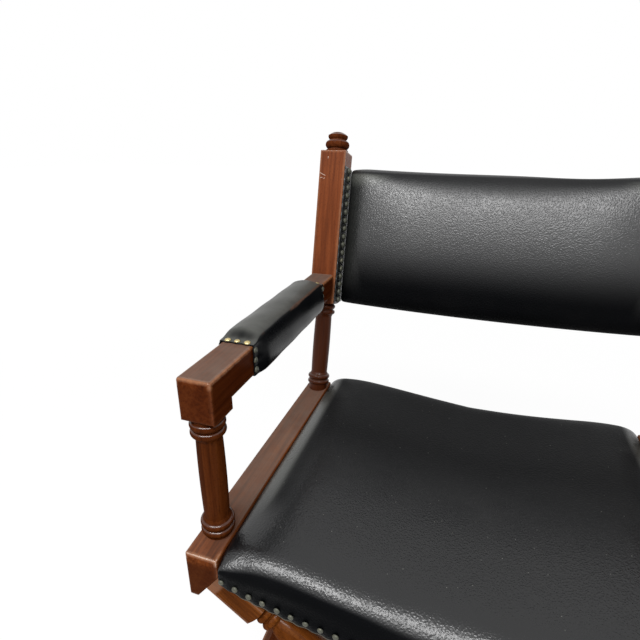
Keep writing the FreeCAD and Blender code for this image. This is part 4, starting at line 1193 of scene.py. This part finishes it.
def arm_nails(model, side, way):
    top_row, side_row = [], []
    for place in (PAD_START + PAD_NAIL_IN, PAD_END - PAD_NAIL_IN):
        for offset in (-PAD_NAIL_PITCH, 0.0, PAD_NAIL_PITCH):
            top_row.append(((way * ARM_MIDDLE + offset, place, ARM_TOP + ARM_NAIL_UP), (0, 0, 1)))
            for face in (-1, 1):
                spot = (way * ARM_MIDDLE + face * (ARM_HALF + PAD_SKIN), place, ARM_TOP - ARM_DEEP + offset)
                side_row.append((spot, (face, 0, 0)))
    top = nail_row(f"arm_top_nails_{side}", model, top_row, ARM_TOP_SEED + way, ARM_NAIL_SIZE)
    sides = nail_row(f"arm_side_nails_{side}", model, side_row, ARM_SIDE_SEED + way, ARM_NAIL_SIZE)
    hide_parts(f"arm_pad_nails_{side}")
    settle(top, bright_brass, f"{side}_frame")
    settle(sides, old_brass, f"{side}_frame")


def seat_nails(model, end, y, way):
    row = []
    for index in range(SEAT_NAILS + 1):
        x = SEAT_NAILS_OUT * (2 * index / SEAT_NAILS - 1)
        row.append(((x, y, float(hem_drop(x)) + SEAT_NAIL_IN), (0, way, 0)))
    piece = nail_row(f"seat_{end}_nail_row", model, row, SEAT_NAIL_SEED + way, SEAT_NAIL_SIZE)
    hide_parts(f"seat_{end}_nails")
    settle(piece, old_brass, "left_frame")
    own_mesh(piece)


def nails():
    model = nail_model()
    for side, way in SIDES.items():
        back_nails(model, side, way)
        arm_nails(model, side, way)
    seat_nails(model, "front", SEAT_FRONT + SEAT_NAIL_SUNK, -1)
    seat_nails(model, "rear", SEAT_REAR - SEAT_NAIL_SUNK, 1)
    bpy.data.objects.remove(model)


# Studio

WHITE = colour(1, 1, 1)
FLOOR_GREY = colour(0.97, 0.97, 0.97)
FLOOR_GLOW = 1.03
GLOW_NEAR = 0.91
SHADOW_REACH = (0.9, 4.0)
SKY_LIGHT = 0.42
SKY_SEEN = 1.0
LAMP_SPOT = Vector((-0.10, -1.45, 2.45))
LAMP_AIM = Vector((-0.10, 0.0, 0.6))
LAMP_SIZE = (2.3, 0.26)
LAMP_POWER = 51
LENS = 25.27
SENSOR = 36
EYE = (-0.0321, -0.5707, 0.9019)
EYE_TURN = (68.31, -0.18, 18.79)


def studio():
    """A pale floor, a white surround, and one long soft lamp before and above the chair."""
    deselect()
    bpy.ops.mesh.primitive_plane_add(size=30, location=(0, 0, 0))
    floor = bpy.context.object
    floor.name = "studio_floor"
    paint = Paint("pale_floor")
    matt = paint.node("BsdfDiffuse", None, {"Color": FLOOR_GREY})
    white = paint.node("Emission", None, {"Color": WHITE, "Strength": FLOOR_GLOW})
    far = paint.node("VectorMath", {"operation": "LENGTH"}, {0: paint.place()}, "Value")
    glow = paint.seen() * (GLOW_NEAR + far.rise(*SHADOW_REACH) * (1 - GLOW_NEAR))
    floor.data.materials.append(paint.close(paint.node("MixShader", None, {0: glow, 1: matt, 2: white})))

    sky = Paint("studio", bpy.data.worlds)
    strength = sky.node("MapRange", None, {"Value": sky.seen(), "To Min": SKY_LIGHT, "To Max": SKY_SEEN})
    light = sky.node("Background", None, {"Color": WHITE, "Strength": strength})
    bpy.context.scene.world = sky.close(light, "OutputWorld")

    lamp = bpy.data.lights.new("softbox", "AREA")
    lamp.shape = "RECTANGLE"
    lamp.size, lamp.size_y = LAMP_SIZE
    lamp.energy = LAMP_POWER
    thing = bpy.data.objects.new("softbox", lamp)
    thing.location = LAMP_SPOT
    thing.rotation_euler = (LAMP_AIM - LAMP_SPOT).to_track_quat("-Z", "Y").to_euler()
    bpy.context.scene.collection.objects.link(thing)


def camera():
    """The photograph's own view, from before and above the seat, turned to the left arm."""
    lens = bpy.data.cameras.new("camera")
    lens.sensor_width = SENSOR
    lens.lens = LENS
    thing = bpy.data.objects.new("camera", lens)
    thing.location = EYE
    thing.rotation_euler = [math.radians(turn) for turn in EYE_TURN]
    bpy.context.scene.collection.objects.link(thing)
    bpy.context.scene.camera = thing


bpy.context.scene.view_settings.view_transform = "Standard"
steel = dull_steel("pivot_steel")
rubber = soft_rubber("glide_rubber")
old_brass = nail_brass("old_brass", bright=0.0)
bright_brass = nail_brass("rubbed_brass", bright=1.0)
seat_leather = black_leather(
    "seat_leather", grain=480, gloss=0.29, relief=0.46, specular=0.60, edge=(HEM_CENTRE, HEM_CURVE), polish=sat_on,
    specks=0.5,
)
back_leather = black_leather("back_leather", grain=520, gloss=0.36, relief=0.75, specular=0.88, polish=leant_on)
arm_leather = black_leather(
    "arm_leather", grain=480, gloss=0.30, relief=0.12, specular=0.10, dust=0.60,
    shoulder=(ARM_MIDDLE - ARM_HALF - 0.0012, ARM_TOP + 0.0058, PAD_START + 0.02, PAD_END),
)
trim_leather = black_leather("trim_leather", grain=620, gloss=0.36, relief=0.5, specular=0.7)

camera()
studio()
dress_frame()
seat_cover()
back_cover()
back_flanges()
seat_hems()
arm_pads()
nails()
